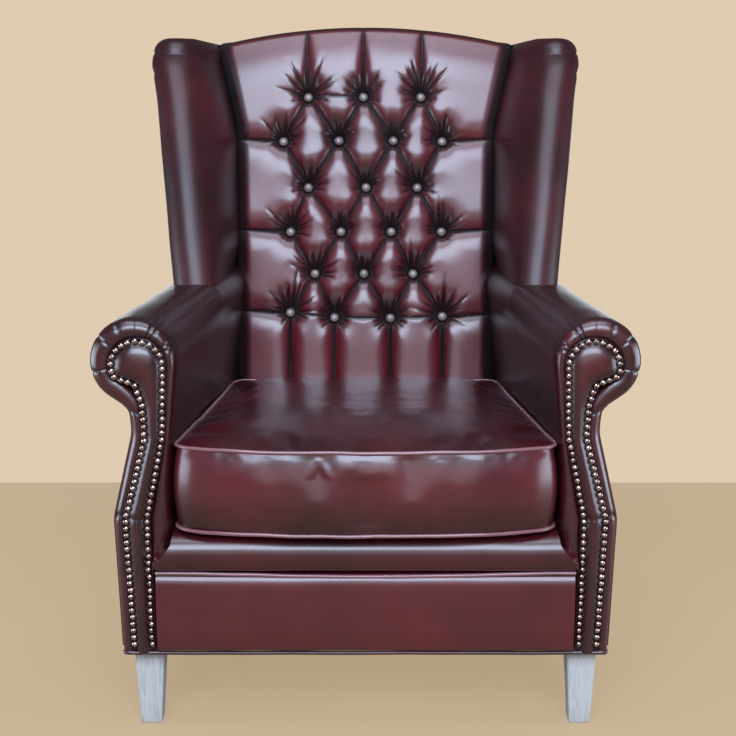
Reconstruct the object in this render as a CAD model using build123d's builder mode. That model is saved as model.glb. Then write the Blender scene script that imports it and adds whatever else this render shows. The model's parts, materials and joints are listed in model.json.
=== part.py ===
"""Chesterfield wing chair: hardwood frame, zigzag springs, deep-buttoned back and loose seat cushion.

Millimetres. The front faces -Y, +X is to the right of a viewer in front, +Z is up.
The origin is on the floor, below the middle of the chair. A setback is a distance behind
the front face of the arm facings. The left-hand pieces are drawn, and the right-hand ones
are their mirror images.
"""

import os
from math import acos, cos, degrees, radians, sin, tan

from build123d import *

os.makedirs("parts", exist_ok=True)

# Overall
facing_y = -353.0
leg_height = 127.0
back_top_z = 1060.0
back_rake = 10.0
base_depth = 588.0
arm_toe_in = 5.0
seat_z = 311.0
seat_slope = 1.5

# Upholstery in general
leather = 2.2
fit = 0.3
panel = 5.0
overrun = 60.0
piping_radius = 3.0
piping_sink = 1.6

# Arm outline, seen from the front
scroll_x = 336.0
scroll_z = 562.0
scroll_radius = 64.0
scroll_end_angle = 228.0
neck_x, neck_z = 343.0, 490.0
waist_x, waist_z = 340.0, 455.0
hip_x, hip_z = 370.0, 326.0
foot_outer_x = 362.0
foot_inner_x = 307.0
inner_face_x = 285.0
roll_foot_x = 309.0
roll_foot_z = 252.0
roll_head_z = 297.0
arm_pad_thickness = 20.0
arm_underside_z = 486.0

# Arm facing with its studs
facing_depth = 20.0
stud_foot_z = 140.0
stud_inner_foot_x = 316.0
stud_inner_hip_x, stud_hip_z = 319.0, 330.0
stud_inner_waist_x, stud_waist_z = 294.0, 450.0
stud_inner_head_x = 291.0
stud_scroll_x, stud_scroll_z = 328.0, 557.0
stud_scroll_radius = 37.0
stud_curl_angle = 205.0
stud_curl_x, stud_curl_z = 331.0, 531.0
stud_neck_x, stud_neck_z = 321.0, 500.0
stud_outer_waist_x = 319.0
stud_outer_hip_x = 350.0
stud_outer_foot_x = 342.0
stud_margin = 5.0
stud_pitch = 10.4
stud_radius = 4.6
stud_height = 3.2
band_start = 6.0
band_round = 8.0

# Wooden frame
wood = 26.0
stump_inset = 9.0
rail_thickness = 34.0
arm_rail_width = 36.0
arm_rail_bottom_z, arm_rail_top_z = 500.0, 585.0
post_width = 40.0
post_depth = 45.0
post_foot_x = 258.0
post_waist_x, post_waist_z = 260.0, 490.0
post_top_x, post_top_z = 302.0, 985.0
top_rail_height = 70.0
lower_rail_height = 55.0
lower_rail_v = 154.0
block_leg = 70.0
block_height = 40.0

# Legs
leg_top = 45.0
leg_foot = 31.0
front_leg_x = 324.0
front_leg_setback = 42.0
rear_leg_setback = 553.0
rear_leg_x = 262.0
rear_leg_rake = 42.0
bolt_radius = 4.0
bolt_length = 80.0
bolt_clearance = 0.4

# Seat springs and deck
spring_count = 5
spring_spacing = 84.0
spring_bar = 40.0
spring_turn_radius = 13.0
spring_wire_radius = 1.9
clip_width, clip_depth, clip_height = 24.0, 12.0, 9.0
deck_thickness = 20.0
deck_back_gap = 3.0

# Front roll and border
roll_reach = 26.0
roll_nose_z = 283.0
roll_shoulder = 8.0
border_proud = 8.0
border_crown = 4.0
dust_cover_thickness = 1.5
dust_cover_margin = 12.0

# Back
back_pad_front = 130.0
back_crown = 12.0
back_half_low = 233.0
back_half_mid = 240.0
back_mid_v = 745.0
back_half_top = 272.0
back_camel_rise = 30.0
back_top_pad = 20.0
back_top_round = 26.0
webbing_thickness = 2.0
webbing_width = 50.0
webbing_count = 6

# Buttons and tufts
button_across = 97.0
button_up = 80.6
button_rows = 6
top_button_v = 798.0
tuft_depth = 26.0
pit_radius = 24.0
groove_width = 20.0
groove_depth = 15.0
button_radius = 8.0
button_height = 6.0
shoulder_share, rise_share = 0.75, 0.7
next_row_share, outer_button_share = 1.5, 1.2
side_tuck_depth = 8.0

# Wings, as height, setback of the front edge and outer half width, from the arm to the top
wing_levels = [(560.0, 296.0, 318.0), (665.0, 340.0, 331.0), (812.0, 405.0, 352.0), (938.0, 470.0, 369.0)]
wing_levels += [(1000.0, 512.0, 378.0), (1026.0, 550.0, 373.0), (1036.0, 590.0, 360.0)]
wing_thickness = 60.0
wing_rear_low, wing_rear_top = 312.0, 332.0
wing_rear_corner = 12.0
wing_frame_thickness = 20.0
wing_frame_inset = 26.0
wing_frame_levels = 5

# Seat cushion
cushion_half_front = 276.5
cushion_front = 30.0
cushion_front_bow = 12.0
cushion_side_draw = 3.0
cushion_corner = 24.0
cushion_back_gap = 10.0
cushion_wall = 128.0
cushion_crown = 27.0
seam_height = 6.0
seam_inset = 3.0
wall_swell = 3.0
crown_rise_shares = [0.4, 0.75, 1.0]
crown_inset_shares = [0.09, 0.24, 0.5]


# Planes, directions and outlines that several pieces share
rake = radians(back_rake)
slope = radians(seat_slope)
toe = tan(radians(arm_toe_in))
arm_run = (toe, 1, 0)
arm_stretch = (1 + toe**2) ** 0.5

back_plane = Plane(
    origin=(0, facing_y + base_depth, leg_height), x_dir=(1, 0, 0), z_dir=(0, -cos(rake), sin(rake))
)
seat_plane = Plane(origin=(0, facing_y, seat_z), x_dir=(1, 0, 0), z_dir=(0, sin(slope), cos(slope)))
rail_top_plane = seat_plane.offset(-deck_thickness - clip_height)
side_rail_x = foot_outer_x - panel - fit
post_front = panel + post_depth
back_top_v = (back_top_z - leg_height - (back_pad_front - back_top_round) * sin(rake)) / cos(rake)
side_top_v = back_top_v - back_camel_rise
post_clear = post_front + webbing_thickness + fit


def on_front(setback):
    """The upright plane at a setback, seen from the front."""
    return Plane.XZ.offset(-(facing_y + setback))


def rear_setback(z, forward=0.0):
    """Setback at height z of the surface that lies forward of the outside of the back."""
    return base_depth + (z - leg_height) * tan(rake) - forward / cos(rake)


def back_half_width(z):
    """Half the width of the buttoned back at height z."""
    v = (z - leg_height) / cos(rake)
    low_share = min(max(v / back_mid_v, 0), 1)
    top_share = max((v - back_mid_v) / (side_top_v - back_mid_v), 0)
    low = back_half_low + (back_half_mid - back_half_low) * low_share
    return low + (back_half_top - back_half_mid) * top_share


def arm_face(setback, grow=0.0):
    """The outline of a whole left arm and side, larger all round by grow."""
    start_angle = -degrees(acos((scroll_x - inner_face_x) / scroll_radius))
    with BuildSketch(on_front(setback)) as face:
        with BuildLine():
            scroll = CenterArc(
                (-scroll_x, scroll_z), scroll_radius, start_angle, scroll_end_angle - start_angle
            )
            Polyline(
                scroll @ 1,
                (-neck_x, neck_z),
                (-waist_x, waist_z),
                (-hip_x, hip_z),
                (-foot_outer_x, leg_height),
                (-foot_inner_x, leg_height),
                (-roll_foot_x, roll_foot_z),
                (-inner_face_x, roll_head_z),
                scroll @ 0,
            )
        make_face()
        if grow:
            offset(amount=grow, kind=Kind.INTERSECTION, mode=Mode.REPLACE)
    return face.sketch


def arm_pad_face(setback, inset=0.0):
    """The outline of the padded roll and inside of a left arm, smaller all round by inset."""
    start_angle = -degrees(acos((scroll_x - inner_face_x) / scroll_radius))
    with BuildSketch(on_front(setback)) as face:
        with BuildLine():
            scroll = CenterArc(
                (-scroll_x, scroll_z), scroll_radius, start_angle, scroll_end_angle - start_angle
            )
            Polyline(
                scroll @ 1,
                (-neck_x, neck_z),
                (-neck_x, arm_underside_z),
                (-inner_face_x - arm_pad_thickness, arm_underside_z),
                (-inner_face_x - arm_pad_thickness, roll_head_z),
                (-inner_face_x, roll_head_z),
                scroll @ 0,
            )
        make_face()
        if inset:
            offset(amount=-inset, kind=Kind.INTERSECTION, mode=Mode.REPLACE)
    return face.sketch


def back_face(grow=0.0, foot_v=lower_rail_v):
    """The outline of the buttoned back with its camel top, on the back plane."""
    with BuildSketch(back_plane) as face:
        with BuildLine():
            camel = ThreePointArc(
                (-back_half_top, side_top_v), (0, back_top_v), (back_half_top, side_top_v)
            )
            Polyline(
                camel @ 1,
                (back_half_mid, back_mid_v),
                (back_half_low, foot_v),
                (-back_half_low, foot_v),
                (-back_half_mid, back_mid_v),
                camel @ 0,
            )
        make_face()
        if grow:
            offset(amount=grow, kind=Kind.INTERSECTION, mode=Mode.REPLACE)
    return face.sketch


def other_side(piece):
    """The mirror image of a left-hand piece."""
    with BuildPart() as twin:
        mirror(objects=[piece.part], about=Plane.YZ)
    return twin


def save(piece, name):
    """Names a finished piece and writes it."""
    piece.part.label = name
    export_step(piece.part, f"parts/{name}.step")


def save_pair(piece, name):
    """Writes a left-hand piece and its right-hand twin."""
    save(piece, f"left_{name}")
    save(other_side(piece), f"right_{name}")


# Arm stumps: the carved boards that carry the fronts of the arms
with BuildPart() as bolt_bores:
    for x, setback in ((front_leg_x, front_leg_setback), (rear_leg_x, rear_leg_setback)):
        for side in (-1, 1):
            with BuildSketch(Plane.XY.offset(leg_height - bolt_length / 2)):
                with Locations((side * x, facing_y + setback)):
                    Circle(bolt_radius + bolt_clearance)
            extrude(amount=bolt_length)

with BuildPart() as stump:
    extrude(arm_face(facing_depth, -stump_inset), amount=-wood)
    add(bolt_bores.part, mode=Mode.SUBTRACT)
save_pair(stump, "arm_stump")
stump_back = facing_depth + wood

# Back posts, which lean back and out
with BuildPart() as post:
    for z, x in ((leg_height, post_foot_x), (post_waist_z, post_waist_x), (post_top_z, post_top_x)):
        middle = facing_y + rear_setback(z, panel) - post_depth / cos(rake) / 2
        with BuildSketch(Plane.XY.offset(z)):
            with Locations((-x, middle)):
                Rectangle(post_width, post_depth / cos(rake))
    loft(ruled=True)
    add(bolt_bores.part, mode=Mode.SUBTRACT)
save_pair(post, "back_post")

# Seat rails
with BuildPart() as front_rail:
    with BuildSketch(on_front(facing_depth)):
        with Locations((0, leg_height)):
            Rectangle(2 * scroll_x, seat_z - leg_height, align=(Align.CENTER, Align.MIN))
    extrude(amount=-wood)
    split(bisect_by=rail_top_plane, keep=Keep.BOTTOM)
    split(bisect_by=Plane.YZ.offset(-foot_inner_x - stump_inset), keep=Keep.TOP)
    split(bisect_by=Plane.YZ.offset(foot_inner_x + stump_inset), keep=Keep.BOTTOM)
    add(stump.part, mode=Mode.SUBTRACT)
    add(other_side(stump).part, mode=Mode.SUBTRACT)
save(front_rail, "front_seat_rail")

with BuildPart() as side_rail:
    with BuildSketch(on_front(facing_depth)):
        with Locations((-side_rail_x, leg_height)):
            Rectangle(rail_thickness, seat_z - leg_height, align=(Align.MIN, Align.MIN))
    extrude(amount=2 * base_depth * arm_stretch, dir=arm_run)
    split(bisect_by=on_front(stump_back), keep=Keep.BOTTOM)
    split(bisect_by=rail_top_plane, keep=Keep.BOTTOM)
    split(bisect_by=back_plane.offset(panel), keep=Keep.TOP)
    add(post.part, mode=Mode.SUBTRACT)
    add(bolt_bores.part, mode=Mode.SUBTRACT)
save_pair(side_rail, "side_seat_rail")

with BuildPart() as rear_rail:
    with BuildSketch(back_plane.offset(panel)):
        Rectangle(
            2 * post_foot_x - post_width / 2, seat_z - leg_height, align=(Align.CENTER, Align.MIN)
        )
    extrude(amount=rail_thickness)
    split(bisect_by=Plane.XY.offset(leg_height), keep=Keep.TOP)
    split(bisect_by=rail_top_plane, keep=Keep.BOTTOM)
    add(post.part, mode=Mode.SUBTRACT)
    add(other_side(post).part, mode=Mode.SUBTRACT)
save(rear_rail, "rear_seat_rail")

# Corner blocks, glued into the four corners of the seat frame
def rail_inner_point(setback):
    """The point at a setback on the inner face of the left side rail."""
    return (rail_thickness - side_rail_x + toe * (setback - facing_depth), facing_y + setback)


rear_rail_setback = rear_setback(leg_height, panel + rail_thickness)
post_inner_x = post_foot_x - post_width / 2
with BuildPart() as corner_blocks:
    with BuildSketch(Plane.XY.offset(leg_height)):
        with BuildLine():
            front_corner = rail_inner_point(stump_back)
            Polyline(
                front_corner,
                (front_corner[0] + block_leg, front_corner[1]),
                rail_inner_point(stump_back + block_leg),
                close=True,
            )
        make_face()
        with BuildLine():
            Polyline(
                rail_inner_point(rear_rail_setback),
                (block_leg - post_inner_x, facing_y + rear_rail_setback),
                rail_inner_point(rear_rail_setback - block_leg),
                close=True,
            )
        make_face()
    extrude(amount=block_height)
    split(bisect_by=back_plane.offset(panel + rail_thickness), keep=Keep.TOP)
    add(post.part, mode=Mode.SUBTRACT)
    add(bolt_bores.part, mode=Mode.SUBTRACT)
    mirror(about=Plane.YZ)
save(corner_blocks, "corner_blocks")

# Legs: square and tapered, the rear ones raked back
leg_x = {"front": front_leg_x, "rear": rear_leg_x}
leg_setback = {"front": front_leg_setback, "rear": rear_leg_setback}
leg_rake = {"front": 0, "rear": rear_leg_rake}
legs = []
for end in ("front", "rear"):
    with BuildPart() as leg:
        with BuildSketch():
            with Locations((-leg_x[end], facing_y + leg_setback[end] + leg_rake[end])):
                Rectangle(leg_foot, leg_foot)
        with BuildSketch(Plane.XY.offset(leg_height)):
            with Locations((-leg_x[end], facing_y + leg_setback[end])):
                Rectangle(leg_top, leg_top)
        loft(ruled=True)
        add(bolt_bores.part, mode=Mode.SUBTRACT)
    save(leg, f"{end}_left_leg")
    save(other_side(leg), f"{end}_right_leg")
    legs += [leg.part, other_side(leg).part]

with BuildPart() as bolts:
    for end in ("front", "rear"):
        for side in (-1, 1):
            with BuildSketch(Plane.XY.offset(leg_height - bolt_length / 2)):
                with Locations((side * leg_x[end], facing_y + leg_setback[end])):
                    Circle(bolt_radius)
            extrude(amount=bolt_length)
save(bolts, "leg_bolts")

# Rails of the back, between the posts
camel_radius = (back_half_top**2 + back_camel_rise**2) / (2 * back_camel_rise)
with BuildPart() as top_rail:
    with BuildSketch(back_plane.offset(panel)):
        with Locations((0, back_top_v - camel_radius)):
            Circle(camel_radius - back_top_pad)
        with Locations((0, side_top_v - back_top_pad)):
            Rectangle(2 * post_top_x, 2 * top_rail_height, mode=Mode.INTERSECT)
    extrude(amount=post_depth)
    add(post.part, mode=Mode.SUBTRACT)
    add(other_side(post).part, mode=Mode.SUBTRACT)
save(top_rail, "top_back_rail")

with BuildPart() as lower_rail:
    with BuildSketch(back_plane.offset(panel)):
        with Locations((0, lower_rail_v)):
            Rectangle(2 * post_foot_x, lower_rail_height, align=(Align.CENTER, Align.MIN))
    extrude(amount=post_depth)
    add(post.part, mode=Mode.SUBTRACT)
    add(other_side(post).part, mode=Mode.SUBTRACT)
save(lower_rail, "lower_back_rail")

# Arm rails, from the stump to the post
with BuildPart() as arm_rail:
    with BuildSketch(on_front(facing_depth)):
        with Locations((-scroll_x, arm_rail_bottom_z)):
            Rectangle(
                arm_rail_width, arm_rail_top_z - arm_rail_bottom_z, align=(Align.CENTER, Align.MIN)
            )
    extrude(amount=2 * base_depth * arm_stretch, dir=arm_run)
    split(bisect_by=on_front(stump_back), keep=Keep.BOTTOM)
    split(bisect_by=back_plane.offset(post_front), keep=Keep.TOP)
save_pair(arm_rail, "arm_rail")


# Wings
def wing_rear_x(z):
    """Half width of the outer rear edge of the wing at height z."""
    low_z, top_z = wing_levels[0][0], wing_levels[-1][0]
    return wing_rear_low + (wing_rear_top - wing_rear_low) * (z - low_z) / (top_z - low_z)


def wing_body(inset, levels, thickness, front_inset):
    """A wing lofted through its level sections, smaller all round by inset."""
    with BuildPart() as body:
        for z, setback, outer_x in levels:
            top_inset = inset if z == levels[-1][0] else 0
            spread = (wing_thickness - thickness) / 2 + inset
            front_y = facing_y + setback + front_inset + inset
            rear_y = facing_y + rear_setback(z)
            nose = thickness / 2 - inset
            rear_inner = back_half_width(z) + spread
            rear_outer = wing_rear_x(z) - spread
            with BuildSketch(Plane.XY.offset(z - top_inset)):
                with BuildLine():
                    outer = (-outer_x + spread, front_y + nose)
                    inner = (-outer_x + wing_thickness - spread, front_y + nose)
                    ThreePointArc(outer, (-outer_x + wing_thickness / 2, front_y), inner)
                    Polyline(inner, (-rear_inner, rear_y), (-rear_outer, rear_y), outer)
                make_face()
        loft(ruled=True)
        split(bisect_by=back_plane.offset(panel), keep=Keep.TOP)
    return body


with BuildPart() as wing_frame:
    add(wing_body(0, wing_levels[:wing_frame_levels], wing_frame_thickness, wing_frame_inset).part)
    split(bisect_by=back_plane.offset(post_front), keep=Keep.TOP)
    split(bisect_by=Plane.XY.offset(arm_rail_top_z), keep=Keep.TOP)
save_pair(wing_frame, "wing_frame")

# Webbing of the back, stretched over the posts
with BuildPart() as webbing:
    low = lower_rail_v + lower_rail_height + webbing_width
    high = side_top_v - back_top_pad - top_rail_height - webbing_width
    for i in range(webbing_count):
        v = low + (high - low) * i / (webbing_count - 1)
        half = back_half_width(leg_height + v * cos(rake)) + post_width / 2
        with BuildSketch(back_plane.offset(post_front)):
            with Locations((0, v)):
                Rectangle(2 * half, webbing_width)
        extrude(amount=webbing_thickness)
save(webbing, "back_webbing")

# Solids that the upholstery is cut by
with BuildPart() as arm_block:
    extrude(arm_face(facing_depth, fit), amount=2 * base_depth * arm_stretch, dir=arm_run)

with BuildPart() as back_space:
    extrude(back_face(fit), amount=back_pad_front)

# Buttoned back: one crowned body with its tufts, cut into leather and foam
crown_radius = (back_half_low**2 + back_crown**2) / (2 * back_crown)
across_plane = Plane(origin=back_plane.origin, x_dir=(1, 0, 0), z_dir=back_plane.y_dir)


def crown_depth(x):
    """How far the front of the back lies from its rear, at a distance x from the middle."""
    return back_pad_front - crown_radius + (crown_radius**2 - x**2) ** 0.5


button_places = []
for row in range(button_rows):
    count = 3 + row % 2
    for i in range(count):
        x = (i - (count - 1) / 2) * button_across
        button_places.append((x, top_button_v - row * button_up))


def groove(start, end, depth, width):
    """A three-sided bar that cuts a pleat from one place on the back to another."""
    a = back_plane.from_local_coords((*start, crown_depth(start[0]) - depth))
    b = back_plane.from_local_coords((*end, crown_depth(end[0]) - depth))
    run = b - a
    across = run.cross(back_plane.z_dir).normalized()
    with BuildPart() as bar:
        with BuildSketch(Plane(origin=a, x_dir=across, z_dir=run.normalized())):
            with BuildLine():
                Polyline((0, 0), (width, -2 * depth), (-width, -2 * depth), close=True)
            make_face()
        extrude(amount=run.length)
    return bar.part


cutters = []
for x, v in button_places:
    pit = Plane(
        origin=back_plane.from_local_coords((x, v, crown_depth(x) - tuft_depth)),
        x_dir=(1, 0, 0),
        z_dir=back_plane.z_dir,
    )
    with BuildPart(pit) as cone:
        Cone(
            button_radius + fit,
            button_radius + pit_radius,
            2 * tuft_depth,
            align=(Align.CENTER, Align.CENTER, Align.MIN),
        )
    cutters.append(cone.part)
    for other_x, other_v in button_places:
        if 0 < v - other_v < next_row_share * button_up and abs(x - other_x) < button_across:
            cutters.append(groove((x, v), (other_x, other_v), groove_depth, groove_width))

top_row = [place for place in button_places if place[1] == top_button_v]
bottom_v = min(v for x, v in button_places)
for x, v in top_row:
    cutters.append(groove((x, v), (x, back_top_v + overrun), side_tuck_depth, groove_width / 2))
for x, v in button_places:
    if v == bottom_v:
        cutters.append(groove((x, v), (x, 0), side_tuck_depth, groove_width / 2))
    if abs(x) > outer_button_share * button_across:
        side = x / abs(x)
        cutters.append(groove((x, v), (side * back_half_top, v), side_tuck_depth, groove_width / 2))

with BuildPart() as back_body:
    extrude(back_face(), amount=back_pad_front)
    with BuildSketch(across_plane):
        with BuildLine():
            half = back_half_top + overrun
            crown = ThreePointArc(
                (-half, -crown_depth(half)), (0, -back_pad_front), (half, -crown_depth(half))
            )
            Polyline(crown @ 1, (half, -panel), (-half, -panel), crown @ 0)
        make_face()
    extrude(amount=back_top_v + overrun, mode=Mode.INTERSECT)
    top_edge = edges().sort_by(Axis((0, 0, 0), back_plane.z_dir + back_plane.y_dir))[-1]
    fillet(top_edge, back_top_round)
    for cutter in cutters:
        add(cutter, mode=Mode.SUBTRACT)


def sunk_back(depth):
    """The buttoned body moved back by a depth of leather, and kept that far inside its outline."""
    with BuildPart() as core:
        add(back_body.part.moved(Location(back_plane.z_dir * -depth)))
        extrude(back_face(-depth), amount=back_pad_front, mode=Mode.INTERSECT)
    return core.part


with BuildPart() as frame_void:
    with BuildSketch(back_plane):
        with Locations((0, back_top_v - camel_radius)):
            Circle(camel_radius - back_top_pad + fit)
    extrude(amount=post_clear)

with BuildPart() as back_cover:
    add(back_body.part)
    add(sunk_back(leather), mode=Mode.SUBTRACT)
    add(frame_void.part, mode=Mode.SUBTRACT)
save(back_cover, "back_cover")

with BuildPart() as back_foam:
    add(sunk_back(leather + fit))
    add(frame_void.part, mode=Mode.SUBTRACT)
    split(bisect_by=back_plane.offset(panel), keep=Keep.TOP)
save(back_foam, "back_foam")

# Buttons, seated at the bottom of their pits
with BuildPart() as button:
    with BuildSketch(Plane.XZ):
        with BuildLine():
            dome = ThreePointArc(
                (0, button_height),
                (button_radius * shoulder_share, button_height * rise_share),
                (button_radius, 0),
            )
            Polyline(dome @ 1, (0, 0), dome @ 0)
        make_face()
    revolve(axis=Axis.Z)

with BuildPart() as buttons:
    for x, v in button_places:
        place = back_plane.from_local_coords((x, v, crown_depth(x) - tuft_depth))
        seat = Plane(origin=place, x_dir=(1, 0, 0), z_dir=back_plane.z_dir)
        add(button.part.moved(seat.location))
save(buttons, "back_buttons")

# Padded arms: foam over the stump and rail, leather over the foam
hard_pieces = [post.part, arm_rail.part, wing_frame.part, top_rail.part, lower_rail.part, webbing.part]
with BuildPart() as arm_pad:
    inner = arm_pad_face(facing_depth, leather + fit)
    extrude(inner, amount=2 * base_depth * arm_stretch, dir=arm_run)
    split(bisect_by=back_plane.offset(panel), keep=Keep.TOP)
    with BuildSketch(on_front(facing_depth)):
        add(arm_face(facing_depth, -stump_inset))
    extrude(amount=-wood, mode=Mode.SUBTRACT)
    add(hard_pieces, mode=Mode.SUBTRACT)
    add(back_space.part, mode=Mode.SUBTRACT)
save_pair(arm_pad, "arm_pad")

with BuildPart() as arm_cover:
    with BuildSketch(on_front(facing_depth)) as cover_ring:
        add(arm_pad_face(facing_depth))
        add(arm_pad_face(facing_depth, leather), mode=Mode.SUBTRACT)
        with Locations((leather - neck_x, roll_head_z)):
            Rectangle(
                neck_x - inner_face_x - 2 * leather,
                arm_underside_z + leather - roll_head_z,
                align=(Align.MIN, Align.MIN),
                mode=Mode.SUBTRACT,
            )
    extrude(cover_ring.sketch, amount=2 * base_depth * arm_stretch, dir=arm_run)
    split(bisect_by=back_plane.offset(panel), keep=Keep.TOP)
    add(hard_pieces, mode=Mode.SUBTRACT)
    add(back_space.part, mode=Mode.SUBTRACT)
save_pair(arm_cover, "arm_cover")

with BuildPart() as outside_arm:
    with BuildSketch(on_front(facing_depth)) as side_strip:
        with BuildLine():
            Polyline(
                (-neck_x, arm_underside_z),
                (-waist_x, waist_z),
                (-hip_x, hip_z),
                (-foot_outer_x, leg_height),
                (panel - foot_outer_x, leg_height),
                (panel - hip_x, hip_z),
                (panel - waist_x, waist_z),
                (panel - neck_x, arm_underside_z),
                close=True,
            )
        make_face()
    extrude(side_strip.sketch, amount=2 * base_depth * arm_stretch, dir=arm_run)
    split(bisect_by=back_plane.offset(panel), keep=Keep.TOP)
save_pair(outside_arm, "outside_arm")


# Arm facings with their studs, and the padded band around them
def stud_line(foot_z):
    """The line of studs up the inside of a facing, round its scroll and down the outside."""
    with BuildLine() as line:
        up = Polyline(
            (-stud_inner_foot_x, foot_z),
            (-stud_inner_hip_x, stud_hip_z),
            (-stud_inner_waist_x, stud_waist_z),
            (-stud_inner_head_x, stud_scroll_z),
        )
        curl = CenterArc((-stud_scroll_x, stud_scroll_z), stud_scroll_radius, 0, stud_curl_angle)
        Polyline(
            curl @ 1,
            (-stud_curl_x, stud_curl_z),
            (-stud_neck_x, stud_neck_z),
            (-stud_outer_waist_x, stud_waist_z),
            (-stud_outer_hip_x, stud_hip_z),
            (-stud_outer_foot_x, foot_z),
        )
    return line


facing_foot_z = leg_height + stud_margin
with BuildPart() as facing:
    with BuildSketch(on_front(facing_depth)):
        with BuildLine():
            add(stud_line(facing_foot_z).line)
            Line((-stud_outer_foot_x, facing_foot_z), (-stud_inner_foot_x, facing_foot_z))
        make_face()
        offset(amount=stud_margin, kind=Kind.INTERSECTION, mode=Mode.REPLACE)
    extrude(amount=facing_depth)
save_pair(facing, "arm_facing")

with BuildPart() as band:
    extrude(arm_face(facing_depth), amount=facing_depth - band_start)
    front_edges = faces().sort_by(Axis.Y)[0].edges()
    fillet(front_edges, band_round)
    add(facing.part, mode=Mode.SUBTRACT)
save_pair(band, "arm_front_band")

with BuildPart() as stud:
    with BuildSketch(Plane.XZ):
        with BuildLine():
            dome = ThreePointArc(
                (0, stud_height),
                (stud_radius * shoulder_share, stud_height * rise_share),
                (stud_radius, 0),
            )
            Polyline(dome @ 1, (0, 0), dome @ 0)
        make_face()
    revolve(axis=Axis.Z)

with BuildPart() as studs:
    path = stud_line(stud_foot_z).wires()[0]
    stud_count = round(path.length / stud_pitch)
    for i in range(stud_count + 1):
        spot = path.position_at(i / stud_count)
        seat = Plane(origin=(spot.X, facing_y, spot.Y), x_dir=(1, 0, 0), z_dir=(0, -1, 0))
        add(stud.part.moved(seat.location))
save_pair(studs, "arm_studs")

# Wing upholstery: foam round the wing frame, leather inside and leather outside
with BuildPart() as wing_foam:
    add(wing_body(leather + fit, wing_levels, wing_thickness, 0).part)
    add(arm_block.part, mode=Mode.SUBTRACT)
    add(back_space.part, mode=Mode.SUBTRACT)
    add(hard_pieces, mode=Mode.SUBTRACT)
save_pair(wing_foam, "wing_foam")

with BuildPart() as wing_leather:
    add(wing_body(0, wing_levels, wing_thickness, 0).part)
    add(wing_body(leather, wing_levels, wing_thickness, 0).part, mode=Mode.SUBTRACT)
    add(arm_block.part, mode=Mode.SUBTRACT)
    add(back_space.part, mode=Mode.SUBTRACT)
    add(hard_pieces, mode=Mode.SUBTRACT)

seam_level = wing_levels[2]
seam_y = facing_y + seam_level[1] + wing_thickness
seam_rear_x = wing_rear_x(seam_level[0]) - wing_rear_corner
seam_front_x = seam_level[2] - wing_rear_corner
seam_run = Vector(seam_front_x - seam_rear_x, facing_y + rear_setback(seam_level[0]) - seam_y, 0)
wing_seam = Plane(
    origin=(-seam_front_x, seam_y, seam_level[0]), x_dir=seam_run, z_dir=seam_run.cross(Vector(0, 0, 1))
)
with BuildPart() as wing_cover:
    add(wing_leather.part)
    split(bisect_by=wing_seam, keep=Keep.TOP)
save_pair(wing_cover, "wing_cover")

with BuildPart() as outside_wing:
    add(wing_leather.part)
    split(bisect_by=wing_seam, keep=Keep.BOTTOM)
save_pair(outside_wing, "outside_wing")

# Outside back: one flat panel over the rear of the frame and the rear edges of the sides
def side_rear_x(z, front_x):
    """Half width at the rear of a side that is front_x wide at the stump."""
    return front_x - toe * (rear_setback(z) - facing_depth)


def up_the_back(z):
    """How far up the back a height lies."""
    return (z - leg_height) / cos(rake)


with BuildPart() as outside_back:
    with BuildSketch(back_plane):
        with BuildLine():
            wing_foot_z, wing_head_z = wing_levels[1][0], wing_levels[-3][0]
            camel = ThreePointArc(
                (-back_half_top, side_top_v), (0, back_top_v), (back_half_top, side_top_v)
            )
            right_side = [
                (wing_rear_x(wing_head_z) - wing_rear_corner, side_top_v),
                (wing_rear_x(wing_head_z), up_the_back(wing_head_z)),
                (wing_rear_x(wing_foot_z), up_the_back(wing_foot_z)),
                (side_rear_x(neck_z, neck_x), up_the_back(neck_z)),
                (side_rear_x(waist_z, waist_x), up_the_back(waist_z)),
                (side_rear_x(hip_z, hip_x), up_the_back(hip_z)),
                (side_rear_x(leg_height, foot_outer_x), 0),
            ]
            left_side = [(-x, v) for x, v in reversed(right_side)]
            Polyline(camel @ 1, *right_side, *left_side, camel @ 0)
        make_face()
    extrude(amount=panel)
    split(bisect_by=Plane.XY.offset(leg_height), keep=Keep.TOP)
save(outside_back, "outside_back")

# Seat springs: zigzag wires held by clips on the front and rear rails
spring_plane = rail_top_plane.offset(clip_height / 2)
spring_front = facing_depth + wood / 2
spring_rear = rear_setback(spring_plane.origin.Z, panel + rail_thickness / 2)
spring_turns = round((spring_rear - spring_front) / (2 * spring_turn_radius))
turn_radius = (spring_rear - spring_front) / (2 * spring_turns)
spring_middles = [(i - (spring_count - 1) / 2) * spring_spacing for i in range(spring_count)]

with BuildPart() as spring:
    with BuildLine(spring_plane):
        side = 1
        y = spring_front
        for turn in range(spring_turns):
            Line((-side * spring_bar / 2, y), (side * spring_bar / 2, y))
            bend_start = (side * spring_bar / 2, y)
            bend_middle = (side * (spring_bar / 2 + turn_radius), y + turn_radius)
            y += 2 * turn_radius
            ThreePointArc(bend_start, bend_middle, (side * spring_bar / 2, y))
            side = -side
        Line((-side * spring_bar / 2, y), (side * spring_bar / 2, y))
    start = spring_plane.from_local_coords((-spring_bar / 2, spring_front, 0))
    with BuildSketch(Plane(origin=start, x_dir=(0, 1, 0), z_dir=(1, 0, 0))):
        Circle(spring_wire_radius)
    sweep()

with BuildPart() as springs:
    for x in spring_middles:
        add(spring.part.moved(Location((x, 0, 0))))
save(springs, "seat_springs")

with BuildPart() as clips:
    for y in (spring_front, spring_rear):
        with BuildSketch(rail_top_plane):
            with Locations(*[(x, y) for x in spring_middles]):
                Rectangle(clip_width, clip_depth)
    extrude(amount=clip_height)
    add(springs.part, mode=Mode.SUBTRACT)
save(clips, "spring_clips")

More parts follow.
